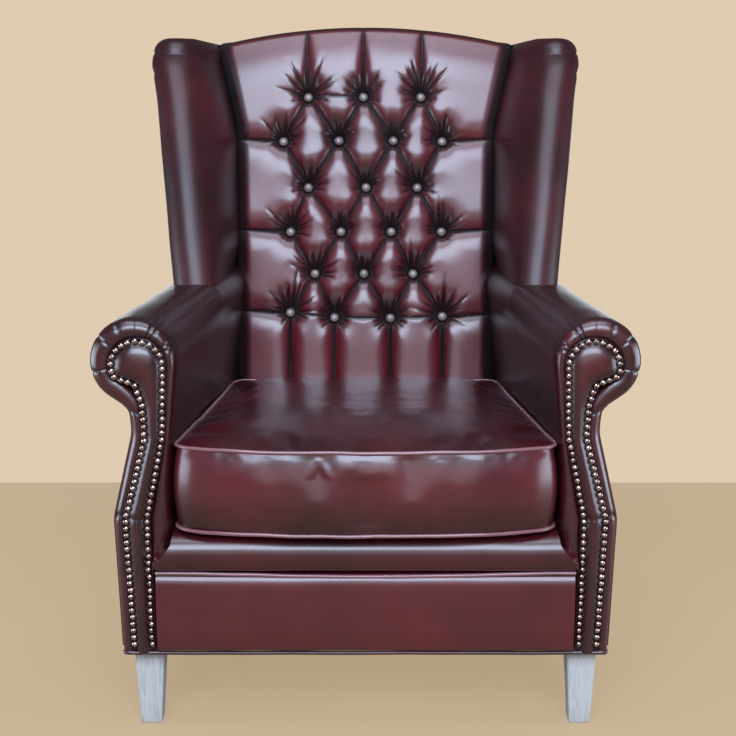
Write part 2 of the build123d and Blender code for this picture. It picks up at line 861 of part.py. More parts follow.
# Seat deck: the pad on the springs that carries the cushion
deck_rear = rear_setback(seat_z - 2 * deck_thickness, back_pad_front) - deck_back_gap
with BuildPart() as deck:
    with BuildSketch(seat_plane.offset(-deck_thickness)):
        with BuildLine():
            front_half = inner_face_x - toe * (stump_back - facing_depth) - 2 * fit
            rear_half = inner_face_x - toe * (deck_rear - facing_depth) - 2 * fit
            deck_front = stump_back + deck_thickness * sin(slope) + fit
            Polyline(
                (-front_half, deck_front),
                (front_half, deck_front),
                (rear_half, deck_rear),
                (-rear_half, deck_rear),
                close=True,
            )
        make_face()
    extrude(amount=deck_thickness)
save(deck, "seat_deck")

# Front roll, front border and the piping between them
seam_z = roll_foot_z
piping_setback = piping_sink - border_proud - piping_radius
with BuildPart() as border_piping:
    with BuildSketch(Plane.YZ.offset(-foot_inner_x + fit)):
        with Locations((facing_y + piping_setback, seam_z)):
            Circle(piping_radius)
    extrude(amount=2 * (foot_inner_x - fit))
save(border_piping, "border_piping")


def seat_height(setback):
    """Height of the deck's top at a setback."""
    return seat_z - setback * tan(slope)


with BuildPart() as front_roll:
    with BuildSketch(Plane.YZ.offset(-roll_foot_x)):
        with BuildLine():
            nose = ThreePointArc(
                (facing_y - border_proud, roll_foot_z + fit),
                (facing_y - roll_reach, roll_nose_z),
                (facing_y + roll_shoulder, seat_height(roll_shoulder)),
            )
            Polyline(
                nose @ 1,
                (facing_y + stump_back, seat_height(stump_back)),
                (facing_y + stump_back, seat_height(stump_back) - deck_thickness),
                (facing_y + facing_depth, seat_height(facing_depth) - deck_thickness),
                (facing_y + facing_depth, roll_foot_z + fit),
                nose @ 0,
            )
        make_face()
    extrude(amount=2 * roll_foot_x)
    with BuildSketch(on_front(stump_back)):
        with BuildLine():
            Polyline(
                (-roll_foot_x + fit, roll_foot_z),
                (roll_foot_x - fit, roll_foot_z),
                (inner_face_x - fit, roll_head_z),
                (inner_face_x - fit, seat_z + roll_shoulder),
                (-inner_face_x + fit, seat_z + roll_shoulder),
                (-inner_face_x + fit, roll_head_z),
                close=True,
            )
        make_face()
    extrude(amount=stump_back + roll_reach + overrun, mode=Mode.INTERSECT)
    add(arm_block.part, mode=Mode.SUBTRACT)
    add(other_side(arm_block).part, mode=Mode.SUBTRACT)
    add(border_piping.part, mode=Mode.SUBTRACT)
save(front_roll, "front_roll")

with BuildPart() as front_border:
    with BuildSketch(Plane.YZ.offset(-foot_inner_x + fit)):
        with BuildLine():
            swell = ThreePointArc(
                (facing_y - border_proud, roll_foot_z - fit),
                (facing_y - border_proud - border_crown, (roll_foot_z + leg_height) / 2),
                (facing_y - border_proud, leg_height),
            )
            Polyline(
                swell @ 1,
                (facing_y + facing_depth, leg_height),
                (facing_y + facing_depth, roll_foot_z - fit),
                swell @ 0,
            )
        make_face()
    extrude(amount=2 * (foot_inner_x - fit))
    add(border_piping.part, mode=Mode.SUBTRACT)
save(front_border, "front_border")

# Piping round the base and the cloth under the seat
base_piping_z = leg_height - piping_radius
base_front = facing_y
base_rear = facing_y + base_depth - panel
base_front_x = foot_outer_x - piping_radius
base_rear_x = side_rear_x(leg_height, foot_outer_x) - piping_radius
with BuildPart() as base_piping:
    with BuildLine(Plane.XY.offset(base_piping_z)):
        base_line = FilletPolyline(
            (base_front_x, base_front),
            (base_rear_x, base_rear),
            (-base_rear_x, base_rear),
            (-base_front_x, base_front),
            radius=3 * piping_radius,
            close=True,
        )
    with BuildSketch(Plane(origin=base_line @ 0, z_dir=base_line % 0)):
        Circle(piping_radius)
    sweep()
save(base_piping, "base_piping")

with BuildPart() as dust_cover:
    with BuildSketch(Plane.XY.offset(leg_height - dust_cover_thickness)):
        with BuildLine():
            Polyline(
                (-base_front_x + dust_cover_margin, base_front + dust_cover_margin),
                (base_front_x - dust_cover_margin, base_front + dust_cover_margin),
                (base_rear_x - dust_cover_margin, base_rear - dust_cover_margin),
                (-base_rear_x + dust_cover_margin, base_rear - dust_cover_margin),
                close=True,
            )
        make_face()
    extrude(amount=dust_cover_thickness)
    add(legs, mode=Mode.SUBTRACT)
    add(bolts.part, mode=Mode.SUBTRACT)
save(dust_cover, "dust_cover")


# Loose seat cushion: a boxed foam core in leather, piped along both seams
def cushion_face(height, inset):
    """The cushion's outline at a height above the deck, smaller all round by inset."""
    front = inset - cushion_front
    lean = height * sin(slope)
    rear = rear_setback(seat_z + height, back_pad_front) - lean - cushion_back_gap - inset
    front_half = cushion_half_front - inset
    rear_half = front_half - toe * (rear - front)
    middle = (front + rear) / 2
    middle_half = (front_half + rear_half) / 2 - cushion_side_draw
    with BuildSketch(seat_plane.offset(height)) as outline:
        with BuildLine():
            ThreePointArc((-front_half, front), (0, front - cushion_front_bow), (front_half, front))
            ThreePointArc((front_half, front), (middle_half, middle), (rear_half, rear))
            Line((rear_half, rear), (-rear_half, rear))
            ThreePointArc((-rear_half, rear), (-middle_half, middle), (-front_half, front))
        make_face()
        fillet(outline.vertices(), cushion_corner)
    return outline.sketch


def cushion_body(shrink):
    """The boxed and crowned cushion, smaller all round by shrink."""
    base = fit + shrink
    top_seam = cushion_wall
    with BuildPart() as body:
        sections = [
            (base, 2 * seam_inset + shrink),
            (seam_height + shrink, shrink),
            (cushion_wall / 2, shrink - wall_swell),
            (top_seam - shrink, shrink),
        ]
        for crown_share, inset_share in zip(crown_rise_shares, crown_inset_shares):
            rise = top_seam - shrink + cushion_crown * crown_share
            sections.append((rise, cushion_half_front * inset_share + shrink))
        loft([cushion_face(height, inset) for height, inset in sections], ruled=True)
    return body


for name, height in (("bottom", seam_height), ("top", cushion_wall)):
    with BuildPart() as cushion_piping:
        seam = cushion_face(height, -piping_radius - fit).faces()[0].outer_wire()
        with BuildSketch(Plane(origin=seam @ 0, z_dir=seam % 0)):
            Circle(piping_radius)
        sweep(path=seam)
    save(cushion_piping, f"cushion_{name}_piping")

with BuildPart() as cushion_cover:
    add(cushion_body(0).part)
    add(cushion_body(leather).part, mode=Mode.SUBTRACT)
save(cushion_cover, "cushion_cover")

with BuildPart() as cushion_foam:
    add(cushion_body(leather + fit).part)
save(cushion_foam, "cushion_foam")
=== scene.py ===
# %% [markdown]
# # A chesterfield wing chair in oxblood leather
# The engineering model of the chair is loaded first, as a frame that never moves. Everything soft is
# then dressed over it: leather that is stretched, buttoned, pleated and nailed. Millimetres are used
# for the upholsterer's sizes, because they are easier to read, and a factor turns them into metres.

import json
import math
import random
from contextlib import contextmanager

import bpy
import numpy as np
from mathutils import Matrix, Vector, noise


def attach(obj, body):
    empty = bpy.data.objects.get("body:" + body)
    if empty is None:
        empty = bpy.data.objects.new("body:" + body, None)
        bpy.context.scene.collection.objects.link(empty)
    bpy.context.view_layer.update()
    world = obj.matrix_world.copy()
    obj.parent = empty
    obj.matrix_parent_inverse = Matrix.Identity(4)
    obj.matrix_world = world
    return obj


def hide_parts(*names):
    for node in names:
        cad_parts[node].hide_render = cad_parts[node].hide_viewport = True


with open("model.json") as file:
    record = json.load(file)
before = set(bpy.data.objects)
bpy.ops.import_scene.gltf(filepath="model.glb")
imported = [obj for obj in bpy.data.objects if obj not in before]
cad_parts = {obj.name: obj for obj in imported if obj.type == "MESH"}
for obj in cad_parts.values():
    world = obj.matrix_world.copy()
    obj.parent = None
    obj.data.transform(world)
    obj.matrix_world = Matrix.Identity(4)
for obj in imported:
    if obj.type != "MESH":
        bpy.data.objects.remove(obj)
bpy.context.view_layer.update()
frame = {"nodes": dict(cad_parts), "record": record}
nodes = frame["nodes"]
mm = 0.001

# %% [markdown]
# The camera comes first, because every later choice is judged through it. It stands two metres in
# front of the chair at chest height and looks down by nine degrees. The picture was cropped off its
# centre, which the lens shift repeats.

# %% Camera
bpy.ops.object.camera_add(location=(0, -2.261, 0.959), rotation=(math.radians(80.91), 0, 0))
camera = bpy.context.object
camera.data.lens = 66.49
camera.data.sensor_width = 36
camera.data.shift_x = 0.0034
camera.data.shift_y = -0.0924
bpy.context.scene.camera = camera
print("camera at", tuple(round(c, 3) for c in camera.location))

# %% [markdown]
# Most of the work is the same few steps: a primitive is added, edit mode changes it, and a modifier
# finishes it and is applied. An operator acts on all that is selected, so each of these helpers first
# selects one piece alone.

# %% Helpers for any piece
def select_only(piece):
    """Makes one piece the only one selected, and the active one."""
    bpy.ops.object.select_all(action="DESELECT")
    piece.select_set(True)
    bpy.context.view_layer.objects.active = piece


def new_primitive(add, **sizes):
    """A fresh primitive from the operator that adds it, with nothing else selected."""
    bpy.ops.object.select_all(action="DESELECT")
    add(**sizes)
    return bpy.context.object


@contextmanager
def edit_mode(select="SELECT"):
    """Edit mode for the active piece, with all selected, nothing, or what was."""
    bpy.ops.object.mode_set(mode="EDIT")
    if select:
        bpy.ops.mesh.select_all(action=select)
    yield
    bpy.ops.object.mode_set(mode="OBJECT")


def pick(elements, chosen, kind="VERT"):
    """Selects just the chosen points or faces of the active piece."""
    with edit_mode("DESELECT"):
        bpy.ops.mesh.select_mode(type=kind)
    elements.foreach_set("select", chosen)


def shape_with(piece, kind, **settings):
    """Gives a piece one modifier and applies it."""
    select_only(piece)
    modifier = piece.modifiers.new(kind.lower(), kind)
    for key, value in settings.items():
        setattr(modifier, key, value)
    bpy.ops.object.modifier_apply(modifier=modifier.name)


def points_of(piece):
    """The coordinates of a piece's points, as an array."""
    co = np.zeros(len(piece.data.vertices) * 3)
    piece.data.vertices.foreach_get("co", co)
    return co.reshape(-1, 3)


def move_points(piece, co):
    """Puts a piece's points where the array says."""
    piece.data.vertices.foreach_set("co", co.astype(float).ravel())
    piece.data.update()


def weld(piece, gap=0.00004):
    """Merges points that meet, and turns all the faces outwards."""
    select_only(piece)
    with edit_mode():
        bpy.ops.mesh.remove_doubles(threshold=gap)
        bpy.ops.mesh.dissolve_degenerate(threshold=gap / 4)
        bpy.ops.mesh.normals_make_consistent(inside=False)


def joined(pieces):
    """Several objects made one."""
    bpy.ops.object.select_all(action="DESELECT")
    for piece in pieces:
        piece.select_set(True)
    bpy.context.view_layer.objects.active = pieces[0]
    bpy.ops.object.join()
    return bpy.context.object


def copy_of(pattern):
    """A copy of an object with its own mesh, free of what the frame tied to it."""
    twin = pattern.copy()
    twin.data = pattern.data.copy()
    twin.parent = None
    for key in list(twin.keys()):
        del twin[key]
    bpy.context.collection.objects.link(twin)
    return twin


print("helpers ready")

# %% [markdown]
# A surface in this chair is a grid primitive whose points are moved to their places by a rule. That
# is how an upholsterer thinks too: a flat hide is laid over a form. The helper below adds the grid,
# cuts it finer where the leather will be pleated, moves its points and welds the ones that meet.

# %% Helpers that make a skin
def cut_finer(piece, near):
    """Halves the faces that touch a point for which near is true."""
    faces = piece.data.polygons
    pick(faces, [bool(near[list(face.vertices)].any()) for face in faces], "FACE")
    with edit_mode(None):
        bpy.ops.mesh.subdivide(number_cuts=1)
        bpy.ops.mesh.select_mode(type="VERT")


def skin(across, along, place, closer=()):
    """A grid whose points go to place(u, v) in millimetres, with u and v from 0 to 1.

    Each rule in closer says where the grid is cut finer before its points move.
    """
    grid = bpy.ops.mesh.primitive_grid_add
    piece = new_primitive(grid, x_subdivisions=across, y_subdivisions=along, size=1)
    for rule in closer:
        co = points_of(piece)
        cut_finer(piece, rule(co[:, 0] + 0.5, co[:, 1] + 0.5))
    co = points_of(piece)
    move_points(piece, mm * place(co[:, 0] + 0.5, co[:, 1] + 0.5))
    weld(piece)
    return piece


def ripple(co, spacing, seed):
    """Smooth noise from -1 to 1 at points in millimetres, with swells about spacing apart."""
    shift = Vector((seed * 7.3, seed * 3.1, seed * 1.7))
    return np.array([noise.noise(Vector(p) / spacing + shift) for p in co])


def ripple_at(x, y, z, spacing, seed):
    """The same noise for places given by their three coordinates."""
    return ripple(np.column_stack([x, y, z]), spacing, seed)


def ramp(value, start, end):
    """A share that rises from 0 at start to 1 at end, whichever of them is larger."""
    return np.clip((value - start) / (end - start), 0, 1)


# %% [markdown]
# Each finished piece gets its leather or metal, rides on a body of the frame and stands in for the
# plain solids under it. One helper does this, so that no piece is forgotten. A share at each point
# tells the leather where the hide lies high and rubbed, and where it sinks into a pleat. It is also
# set low where the leather lies in shade, so part of the darkening it gives is painted shade. The
# share called polish tells how much lacquer the piece carries.

# %% Helpers that finish a piece
finishes = {}


def mark_share(piece, kind, shares):
    """Stores a share from 0 to 1 at each point, which the leather's nodes read."""
    layer = piece.data.attributes.get(kind) or piece.data.attributes.new(kind, "FLOAT", "POINT")
    layer.data.foreach_set("value", np.clip(shares, 0, 1).astype(np.float32))


def finish_piece(
    piece, name, replaced, slot="oxblood_leather", body="chair",
    rub_and_shade=0.75, polish=1.0, angle=50,
):
    """Names a piece, gives it its material and ties it to the frame."""
    piece.name = piece.data.name = name
    piece.data.materials.clear()
    piece.data.materials.append(finishes[slot])
    select_only(piece)
    bpy.ops.object.shade_smooth_by_angle(angle=math.radians(angle))
    if rub_and_shade is not None:
        mark_share(piece, "rub_and_shade", np.full(len(piece.data.vertices), 1.0) * rub_and_shade)
        mark_share(piece, "polish", np.full(len(piece.data.vertices), polish))
    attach(piece, body)
    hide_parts(*replaced)
    print(f"{name}: {len(piece.data.polygons)} faces, stands in for {len(replaced)} nodes")
    return piece


# %% [markdown]
# Antiqued leather is dyed bright and then rubbed over with black, so the colour stays red where the
# hide stands high and turns nearly black in the pleats. That near-black is also painted shade: the
# pleats, the pits, the sides and top edge of the back, the rear of the wings and the seams are
# darkened where shade falls. The nodes mix three reds by the share of how high the hide lies, which
# carries this painted shade, and by a slow cloudy noise. A lacquer lies on top, as a thin coat that
# the pleats don't get, over a bump of fine grain cells and a slower unevenness. Roughness, coat and
# colour all come from nodes that are added in the same few ways, so a small class holds those ways.

# %% Helper for materials
class Paint:
    """A material in the making, with short ways to add nodes to it."""

    def __init__(self, name, **sockets):
        self.material = finishes[name] = bpy.data.materials.new(name)
        self.material.use_nodes = True
        self.tree = self.material.node_tree
        self.shader = self.tree.nodes["Principled BSDF"]
        self.place = self.add("TexCoord").outputs["Object"]
        for socket, value in sockets.items():
            self.give(self.shader.inputs[socket.replace("_", " ")], value)

    def add(self, kind, **settings):
        """A new node of one kind."""
        node = self.tree.nodes.new("ShaderNode" + kind)
        for key, value in settings.items():
            setattr(node, key, value)
        return node

    def give(self, socket, value):
        """Feeds a socket with another node's output, or sets it to a plain value."""
        if isinstance(value, bpy.types.NodeSocket):
            self.tree.links.new(value, socket)
        else:
            socket.default_value = value

    def maths(self, operation, *values):
        """One sum of sockets or numbers."""
        node = self.add("Math", operation=operation)
        for socket, value in zip(node.inputs, values):
            self.give(socket, value)
        return node.outputs[0]

    def noise(self, scale, detail=3.0, stretch=(1, 1, 1)):
        """A noise texture on Object coordinates, stretched if need be."""
        mapping, texture = self.add("Mapping"), self.add("TexNoise")
        self.give(mapping.inputs["Scale"], stretch)
        self.give(mapping.inputs["Vector"], self.place)
        self.give(texture.inputs["Scale"], scale)
        self.give(texture.inputs["Detail"], detail)
        self.give(texture.inputs["Vector"], mapping.outputs["Vector"])
        return texture.outputs["Fac"]

    def cells(self, scale, **settings):
        """The distance inside small cells, on Object coordinates."""
        texture = self.add("TexVoronoi", **settings)
        self.give(texture.inputs["Scale"], scale)
        self.give(texture.inputs["Vector"], self.place)
        return texture.outputs["Distance"]

    def colour(self, factor, *stops):
        """Feeds the shader's colour through a ramp with stops of (position, colour)."""
        node = self.add("ValToRGB")
        ends = node.color_ramp.elements
        for end, (position, colour) in zip(ends, (stops[0], stops[-1])):
            end.position, end.color = position, (*colour, 1)
        for position, colour in stops[1:-1]:
            ends.new(position).color = (*colour, 1)
        self.give(node.inputs["Fac"], factor)
        self.give(self.shader.inputs["Base Color"], node.outputs["Color"])

    def between(self, value, low, high, full=1.0):
        """Turns a value that runs from 0 to full into one from low to high."""
        node = self.add("MapRange")
        for socket, number in (("From Max", full), ("To Min", low), ("To Max", high), ("Value", value)):
            self.give(node.inputs[socket], number)
        return node.outputs["Result"]

    def bump(self, height, strength, depth):
        """Adds a layer of bump under whatever bump the shader already has."""
        node, normal = self.add("Bump"), self.shader.inputs["Normal"]
        for socket, value in (("Strength", strength), ("Distance", depth), ("Height", height)):
            self.give(node.inputs[socket], value)
        if normal.is_linked:
            self.give(node.inputs["Normal"], normal.links[0].from_socket)
        self.give(normal, node.outputs["Normal"])


# %% Leather
PLEAT_SHARE = 0.45  # a raised share below this lies in a pleat, dull and without lacquer


def leather(name, sunk, middle, high, roughness=(0.28, 0.4)):
    """Antiqued leather whose colour, painted shade included, and gloss follow the shares marked on each
    piece.
    """
    paint = Paint(name, Coat_Roughness=0.22)
    rub_and_shade = paint.add("Attribute", attribute_name="rub_and_shade").outputs["Fac"]
    polish = paint.add("Attribute", attribute_name="polish").outputs["Fac"]
    clouds, mottle = paint.noise(7.0, 4.0), paint.noise(45.0, 4.0)
    share = paint.maths("MULTIPLY_ADD", clouds, 0.5, paint.maths("SUBTRACT", rub_and_shade, 0.25))
    share = paint.maths("MULTIPLY_ADD", mottle, 0.16, share)
    paint.colour(share, (0.08, sunk), (0.62, middle), (1.0, high))
    matt = paint.maths("ADD", paint.between(clouds, *roughness), paint.between(polish, 0.14, 0.0))
    dull = paint.between(rub_and_shade, 0.4, 0.0, full=PLEAT_SHARE)
    lacquer = paint.between(rub_and_shade, 0.0, 0.7, full=PLEAT_SHARE)
    paint.give(paint.shader.inputs["Roughness"], paint.maths("ADD", matt, dull))
    paint.give(paint.shader.inputs["Coat Weight"], paint.maths("MULTIPLY", lacquer, polish))
    paint.bump(paint.cells(520.0, feature="DISTANCE_TO_EDGE"), 0.22, 0.0003)
    paint.bump(paint.noise(90.0), 0.12, 0.0012)


leather("oxblood_leather", (0.0012, 0.0003, 0.0004), (0.022, 0.0015, 0.003), (0.09, 0.005, 0.0095))
# The piping's leather is paler and pinker than the hide: a painted highlight for the bright line along each
# cord.
leather("piping_leather", (0.01, 0.003, 0.004), (0.07, 0.02, 0.025), (0.21, 0.085, 0.095), (0.16, 0.26))
# The buttons' leather is a pale tan, partly the rub-off on their domes and partly a painted highlight.
leather("button_leather", (0.05, 0.035, 0.035), (0.14, 0.1, 0.09), (0.24, 0.18, 0.165))
print("leathers:", list(finishes))


# %% [markdown]
# The other finishes are few. The nails are bronze that has browned in the hollows. The legs are oak
# rubbed with lime, which leaves pale streaks along the grain, so the noise is squeezed across the leg
# and drawn out along it. The frame inside is plain sawn beech, and cloth is a small weave.

# %% Metal, wood and cloth
def metal(name, dark, bright, roughness):
    """A worn metal, darker in clouds."""
    paint = Paint(name, Metallic=1.0)
    clouds = paint.noise(160.0)
    paint.colour(clouds, (0.3, dark), (0.7, bright))
    paint.give(paint.shader.inputs["Roughness"], paint.between(clouds, *roughness))
    paint.bump(paint.noise(900.0, 2.0), 0.1, 0.0002)


def wood(name, dark, pale, stretch, scale, roughness):
    """Wood with its grain drawn out along one direction."""
    paint = Paint(name)
    grain = paint.noise(scale, 6.0, stretch)
    broad = paint.between(paint.noise(scale / 6, 3.0, stretch), 0.0, 0.4)
    paint.colour(paint.maths("MULTIPLY_ADD", grain, 0.6, broad), (0.32, dark), (0.54, pale))
    paint.give(paint.shader.inputs["Roughness"], paint.between(grain, *roughness))
    paint.bump(grain, 0.35, 0.0008)


def cloth(name, dark, pale, thread):
    """A plain weave with threads this far apart, in millimetres."""
    paint = Paint(name, Roughness=0.85)
    threads = []
    for direction in ("X", "Y"):
        wave = paint.add("TexWave", wave_type="BANDS", bands_direction=direction)
        paint.give(wave.inputs["Scale"], 1 / (thread * mm) / 20 * math.pi)
        paint.give(wave.inputs["Distortion"], 0.4)
        paint.give(wave.inputs["Vector"], paint.place)
        threads.append(wave.outputs["Fac"])
    weave = paint.maths("MULTIPLY", *threads)
    paint.colour(weave, (0.0, dark), (1.0, pale))
    paint.bump(weave, 0.4, 0.0004)


def foam_rubber(name, dark, pale):
    """Upholstery foam with its open cells."""
    paint = Paint(name, Roughness=0.9)
    cells = paint.cells(600.0)
    paint.colour(cells, (0.0, dark), (0.8, pale))
    paint.bump(cells, 0.5, 0.0006)


metal("antique_brass", (0.16, 0.1, 0.08), (0.64, 0.46, 0.4), (0.18, 0.3))
metal("zinc_steel", (0.4, 0.4, 0.41), (0.6, 0.61, 0.62), (0.3, 0.45))
metal("spring_steel", (0.18, 0.18, 0.19), (0.4, 0.41, 0.42), (0.35, 0.5))
wood("limed_oak", (0.28, 0.28, 0.285), (0.5, 0.49, 0.475), (1, 1, 0.035), 700.0, (0.4, 0.6))
wood("beech_frame", (0.42, 0.27, 0.15), (0.62, 0.45, 0.28), (1, 0.15, 0.15), 120.0, (0.55, 0.75))
cloth("webbing", (0.03, 0.03, 0.03), (0.2, 0.19, 0.17), 2.5)
cloth("deck_cloth", (0.02, 0.008, 0.01), (0.09, 0.04, 0.045), 1.2)
cloth("black_cloth", (0.008, 0.008, 0.008), (0.035, 0.035, 0.035), 1.0)
foam_rubber("foam", (0.6, 0.54, 0.38), (0.82, 0.78, 0.6))
print("finishes:", len(finishes), "materials")

# %% [markdown]
# The hidden parts of the frame stay exactly as the engineering model has them. They only need a
# finish each, which is read from the record's list of material slots.

# %% Finish the hidden frame
for part in frame["record"]["subparts"]:
    node = nodes[part["node"]]
    node.data.materials.clear()
    node.data.materials.append(finishes[part["material_slot"]])

# %% [markdown]
# The chair's main lines are written down once. A setback is a distance behind the front face of the
# arms. The back leans by ten degrees, so it has its own directions: across, up the slope and out of it.

# %% Main lines of the chair
FRONT_Y = -353.0  # the front face of the arms
LEG_Z = 127.0
BASE_DEPTH = 588.0
FACING = 20.0  # setback at which the arm rolls begin, behind the facings
RAKE = math.radians(10)
TOE = math.tan(math.radians(5))  # the arms run in towards the rear

# The buttoned back, with its heights measured up the slope
BACK_FOOT, SHOULDER, HEAD, BACK_TOP = 154.0, 745.0, 887.0, 929.0
HALF_LOW, SHOULDER_GAIN, HEAD_GAIN = 233.0, 7.0, 32.0
CAMEL_HALF, CAMEL_RISE = 272.0, 30.0
PAD_OUT, SIDE_LOSS = 130.0, 12.0
TUFT = 26.0  # depth of the pits that the buttons lie in


def back_point(x, up, out):
    """A place on the leaning back, from across, up the slope and out of it."""
    y = FRONT_Y + BASE_DEPTH + up * math.sin(RAKE) - out * math.cos(RAKE)
    z = LEG_Z + up * math.cos(RAKE) + out * math.sin(RAKE)
    return np.column_stack([x, y, z])


def up_slope(co):
    """How far up the slope of the back each point lies."""
    return (co[:, 1] - FRONT_Y - BASE_DEPTH) * math.sin(RAKE) + (co[:, 2] - LEG_Z) * math.cos(RAKE)


def rear_at(z):
    """Setback of the chair's rear face at a height."""
    return BASE_DEPTH + (z - LEG_Z) * math.tan(RAKE)


def back_half_width(up):
    """Half the width of the buttoned back, which spreads towards the top."""
    return HALF_LOW + SHOULDER_GAIN * ramp(up, 0, SHOULDER) + HEAD_GAIN * ramp(up, SHOULDER, HEAD)


def camel_top(x):
    """How far up the slope the curved top edge lies."""
    return BACK_TOP - CAMEL_RISE * (x / CAMEL_HALF) ** 2


def crown(x):
    """How far the padded back stands out, less towards its sides."""
    return PAD_OUT - SIDE_LOSS * (x / HALF_LOW) ** 2


print("top of the back", round(LEG_Z + BACK_TOP * math.cos(RAKE) + (PAD_OUT - TUFT) * math.sin(RAKE)), "mm")

# %% [markdown]
# A deep-buttoned back is a pad with deep pits. Twine pulls a covered button into each pit, and the
# spare leather between two buttons is folded into a pleat, so the pad swells into diamonds. Three
# ways come to mind: sculpt it, simulate it, or describe it. Describing it is the most exact, since
# each pleat is a line with a depth: the surface is full where no line is near, and drops as a quarter
# circle towards the nearest one. A pleat is written as its two ends, its depths at the start, the
# middle and the end, and its reach to either side.

# %% Where the buttons and pleats lie
BUTTON_RISE = 18.0  # what standing out of the slope adds to a button's height
button_rows = [
    [(-105, 931), (-4, 931), (102, 931)],
    [(-151, 851), (-49, 852), (51, 852), (141, 851)],
    [(-105, 767), (1, 767), (95, 767)],
    [(-138, 687), (-45, 687), (47, 687), (139.5, 687)],
    [(-93, 611), (-3, 611), (87, 611)],
    [(-138, 541), (-57, 532), (45.5, 531), (141, 534)],
]
button_rows = [[(x, (z - LEG_Z - BUTTON_RISE) / math.cos(RAKE)) for x, z in row] for row in button_rows]
top_row, low_row = button_rows[0], button_rows[-1]
buttons = [place for row in button_rows for place in row]

PLEAT_SPAN = 80.0  # two buttons further apart than this across the back share no pleat
SIDE_END = 262.0  # where the pleats to the sides end
creases = [
    (above, below, 23, 14, 23, 36)
    for upper, lower in zip(button_rows[:-1], button_rows[1:])
    for above in upper
    for below in lower
    if abs(above[0] - below[0]) < PLEAT_SPAN
]
creases += [((x, up), (x * 1.04, BACK_TOP + 60), 22, 8, 6, 30) for x, up in top_row]
creases += [((x, up), (x * 0.98, up - 320), 22, 12, 9, 34) for x, up in low_row]
creases += [
    ((x, up), (math.copysign(SIDE_END, x), up + 4), 22, 11, 9, 42)
    for row in button_rows[1::2]
    for x, up in (row[0], row[-1])
]
creases += [(one, other, 16, 6, 16, 14) for one, other in zip(low_row[:-1], low_row[1:])]
creases.append((top_row[0], top_row[1], 14, 4, 12, 13))
print(len(buttons), "buttons and", len(creases), "pleats")

# %% [markdown]
# Round each button the leather also gathers into a fan of short folds, most of them pointing up,
# because the hide is pulled down over each button in turn. Each fold is one more line, thin and
# shallow, at a random angle. The random numbers have a seed, so the chair comes out the same each time.

# %% Fans of small folds
chance = random.Random(11)
FOLD_START = 7.0  # a fold begins at the button's rim
fans = []


def add_fold(x, up, angle, length, at_start, at_middle, width):
    """One small fold that runs out from a button and fades to nothing."""
    run_x, run_up = math.cos(angle), math.sin(angle)
    start = (x + FOLD_START * run_x, up + FOLD_START * run_up)
    fans.append((start, (x + length * run_x, up + length * run_up), at_start, at_middle, 0.0, width))


for row, places in enumerate(button_rows):
    for column, (x, up) in enumerate(places):
        outer = column in (0, len(places) - 1)
        for step in range(12):
            angle = math.radians(-14 + step * 19 + chance.uniform(-8, 8))
            length = chance.uniform(26, 52) * (1.4 if outer else 1.0)
            length *= 1.25 if row in (0, 5) else 1.0
            length *= 0.6 + 0.45 * max(0.0, math.sin(angle))
            add_fold(x, up, angle, length, chance.uniform(8, 13), 5.0, chance.uniform(4.2, 7.0))
        for step in range(6):
            angle = math.radians(-160 + step * 26 + chance.uniform(-9, 9))
            length = chance.uniform(14, 30) + (12 if row == 5 else 0)
            add_fold(x, up, angle, length, chance.uniform(4.5, 7.5), 2.2, chance.uniform(3.5, 5.5))
print(len(fans), "small folds")


# %% Depth of the pleats at any place
def to_line(x, up, start, end):
    """The share of the way along a line that faces each place, and how far away the line is."""
    run_x, run_up = end[0] - start[0], end[1] - start[1]
    share = ((x - start[0]) * run_x + (up - start[1]) * run_up) / (run_x**2 + run_up**2)
    share = np.clip(share, 0, 1)
    return share, np.hypot(x - start[0] - share * run_x, up - start[1] - share * run_up)


def crease_depth(x, up, start, end, at_start, at_middle, at_end, width):
    """How deep one pleat presses the surface in at each place."""
    share, away = to_line(x, up, start, end)
    depth = at_start * (1 - share) * (1 - 2 * share) + 4 * at_middle * share * (1 - share)
    depth += at_end * share * (2 * share - 1)
    near = np.clip(np.sqrt(away**2 + 0.2) / width, 0, 1)
    return depth * (1 - np.sqrt(1 - (1 - near) ** 2))


def bell(gap, reach):
    """A smooth hill, 1 where the gap is zero and low beyond the reach."""
    return np.exp(-((gap / reach) ** 2))


def tuft_depth(x, up):
    """The pits, pleats and small folds together, the deepest winning softly."""
    total = np.zeros_like(x)
    for x0, up0 in buttons:
        near = np.hypot(x - x0, up - up0)
        pit = (TUFT - 4) * np.exp(-np.clip(near - 7, 0, None) / 5.5) + 8 * bell(near, 32)
        pit += 6 * bell(np.hypot(x - x0, up - up0 - 22), 22)
        total += np.clip(pit, 0, TUFT) ** 4
    for line in creases:
        total += crease_depth(x, up, *line) ** 4
    small = sum(crease_depth(x, up, *line) ** 3 for line in fans)
    return np.minimum(total**0.25 + 0.8 * small ** (1 / 3), TUFT + 1)


def line_nearness(x, up, sharp_pleat, sharp_fold):
    """How near each place is to a pleat or small fold, from 0 to 1."""
    nearest = np.zeros_like(x)
    for group, sharp in ((creases, sharp_pleat), (fans, sharp_fold)):
        for start, end, *rest in group:
            share, away = to_line(x, up, start, end)
            fade = 1 if group is creases else np.sqrt(1 - share)
            nearest = np.maximum(nearest, np.exp(-away / sharp) * fade)
    return nearest


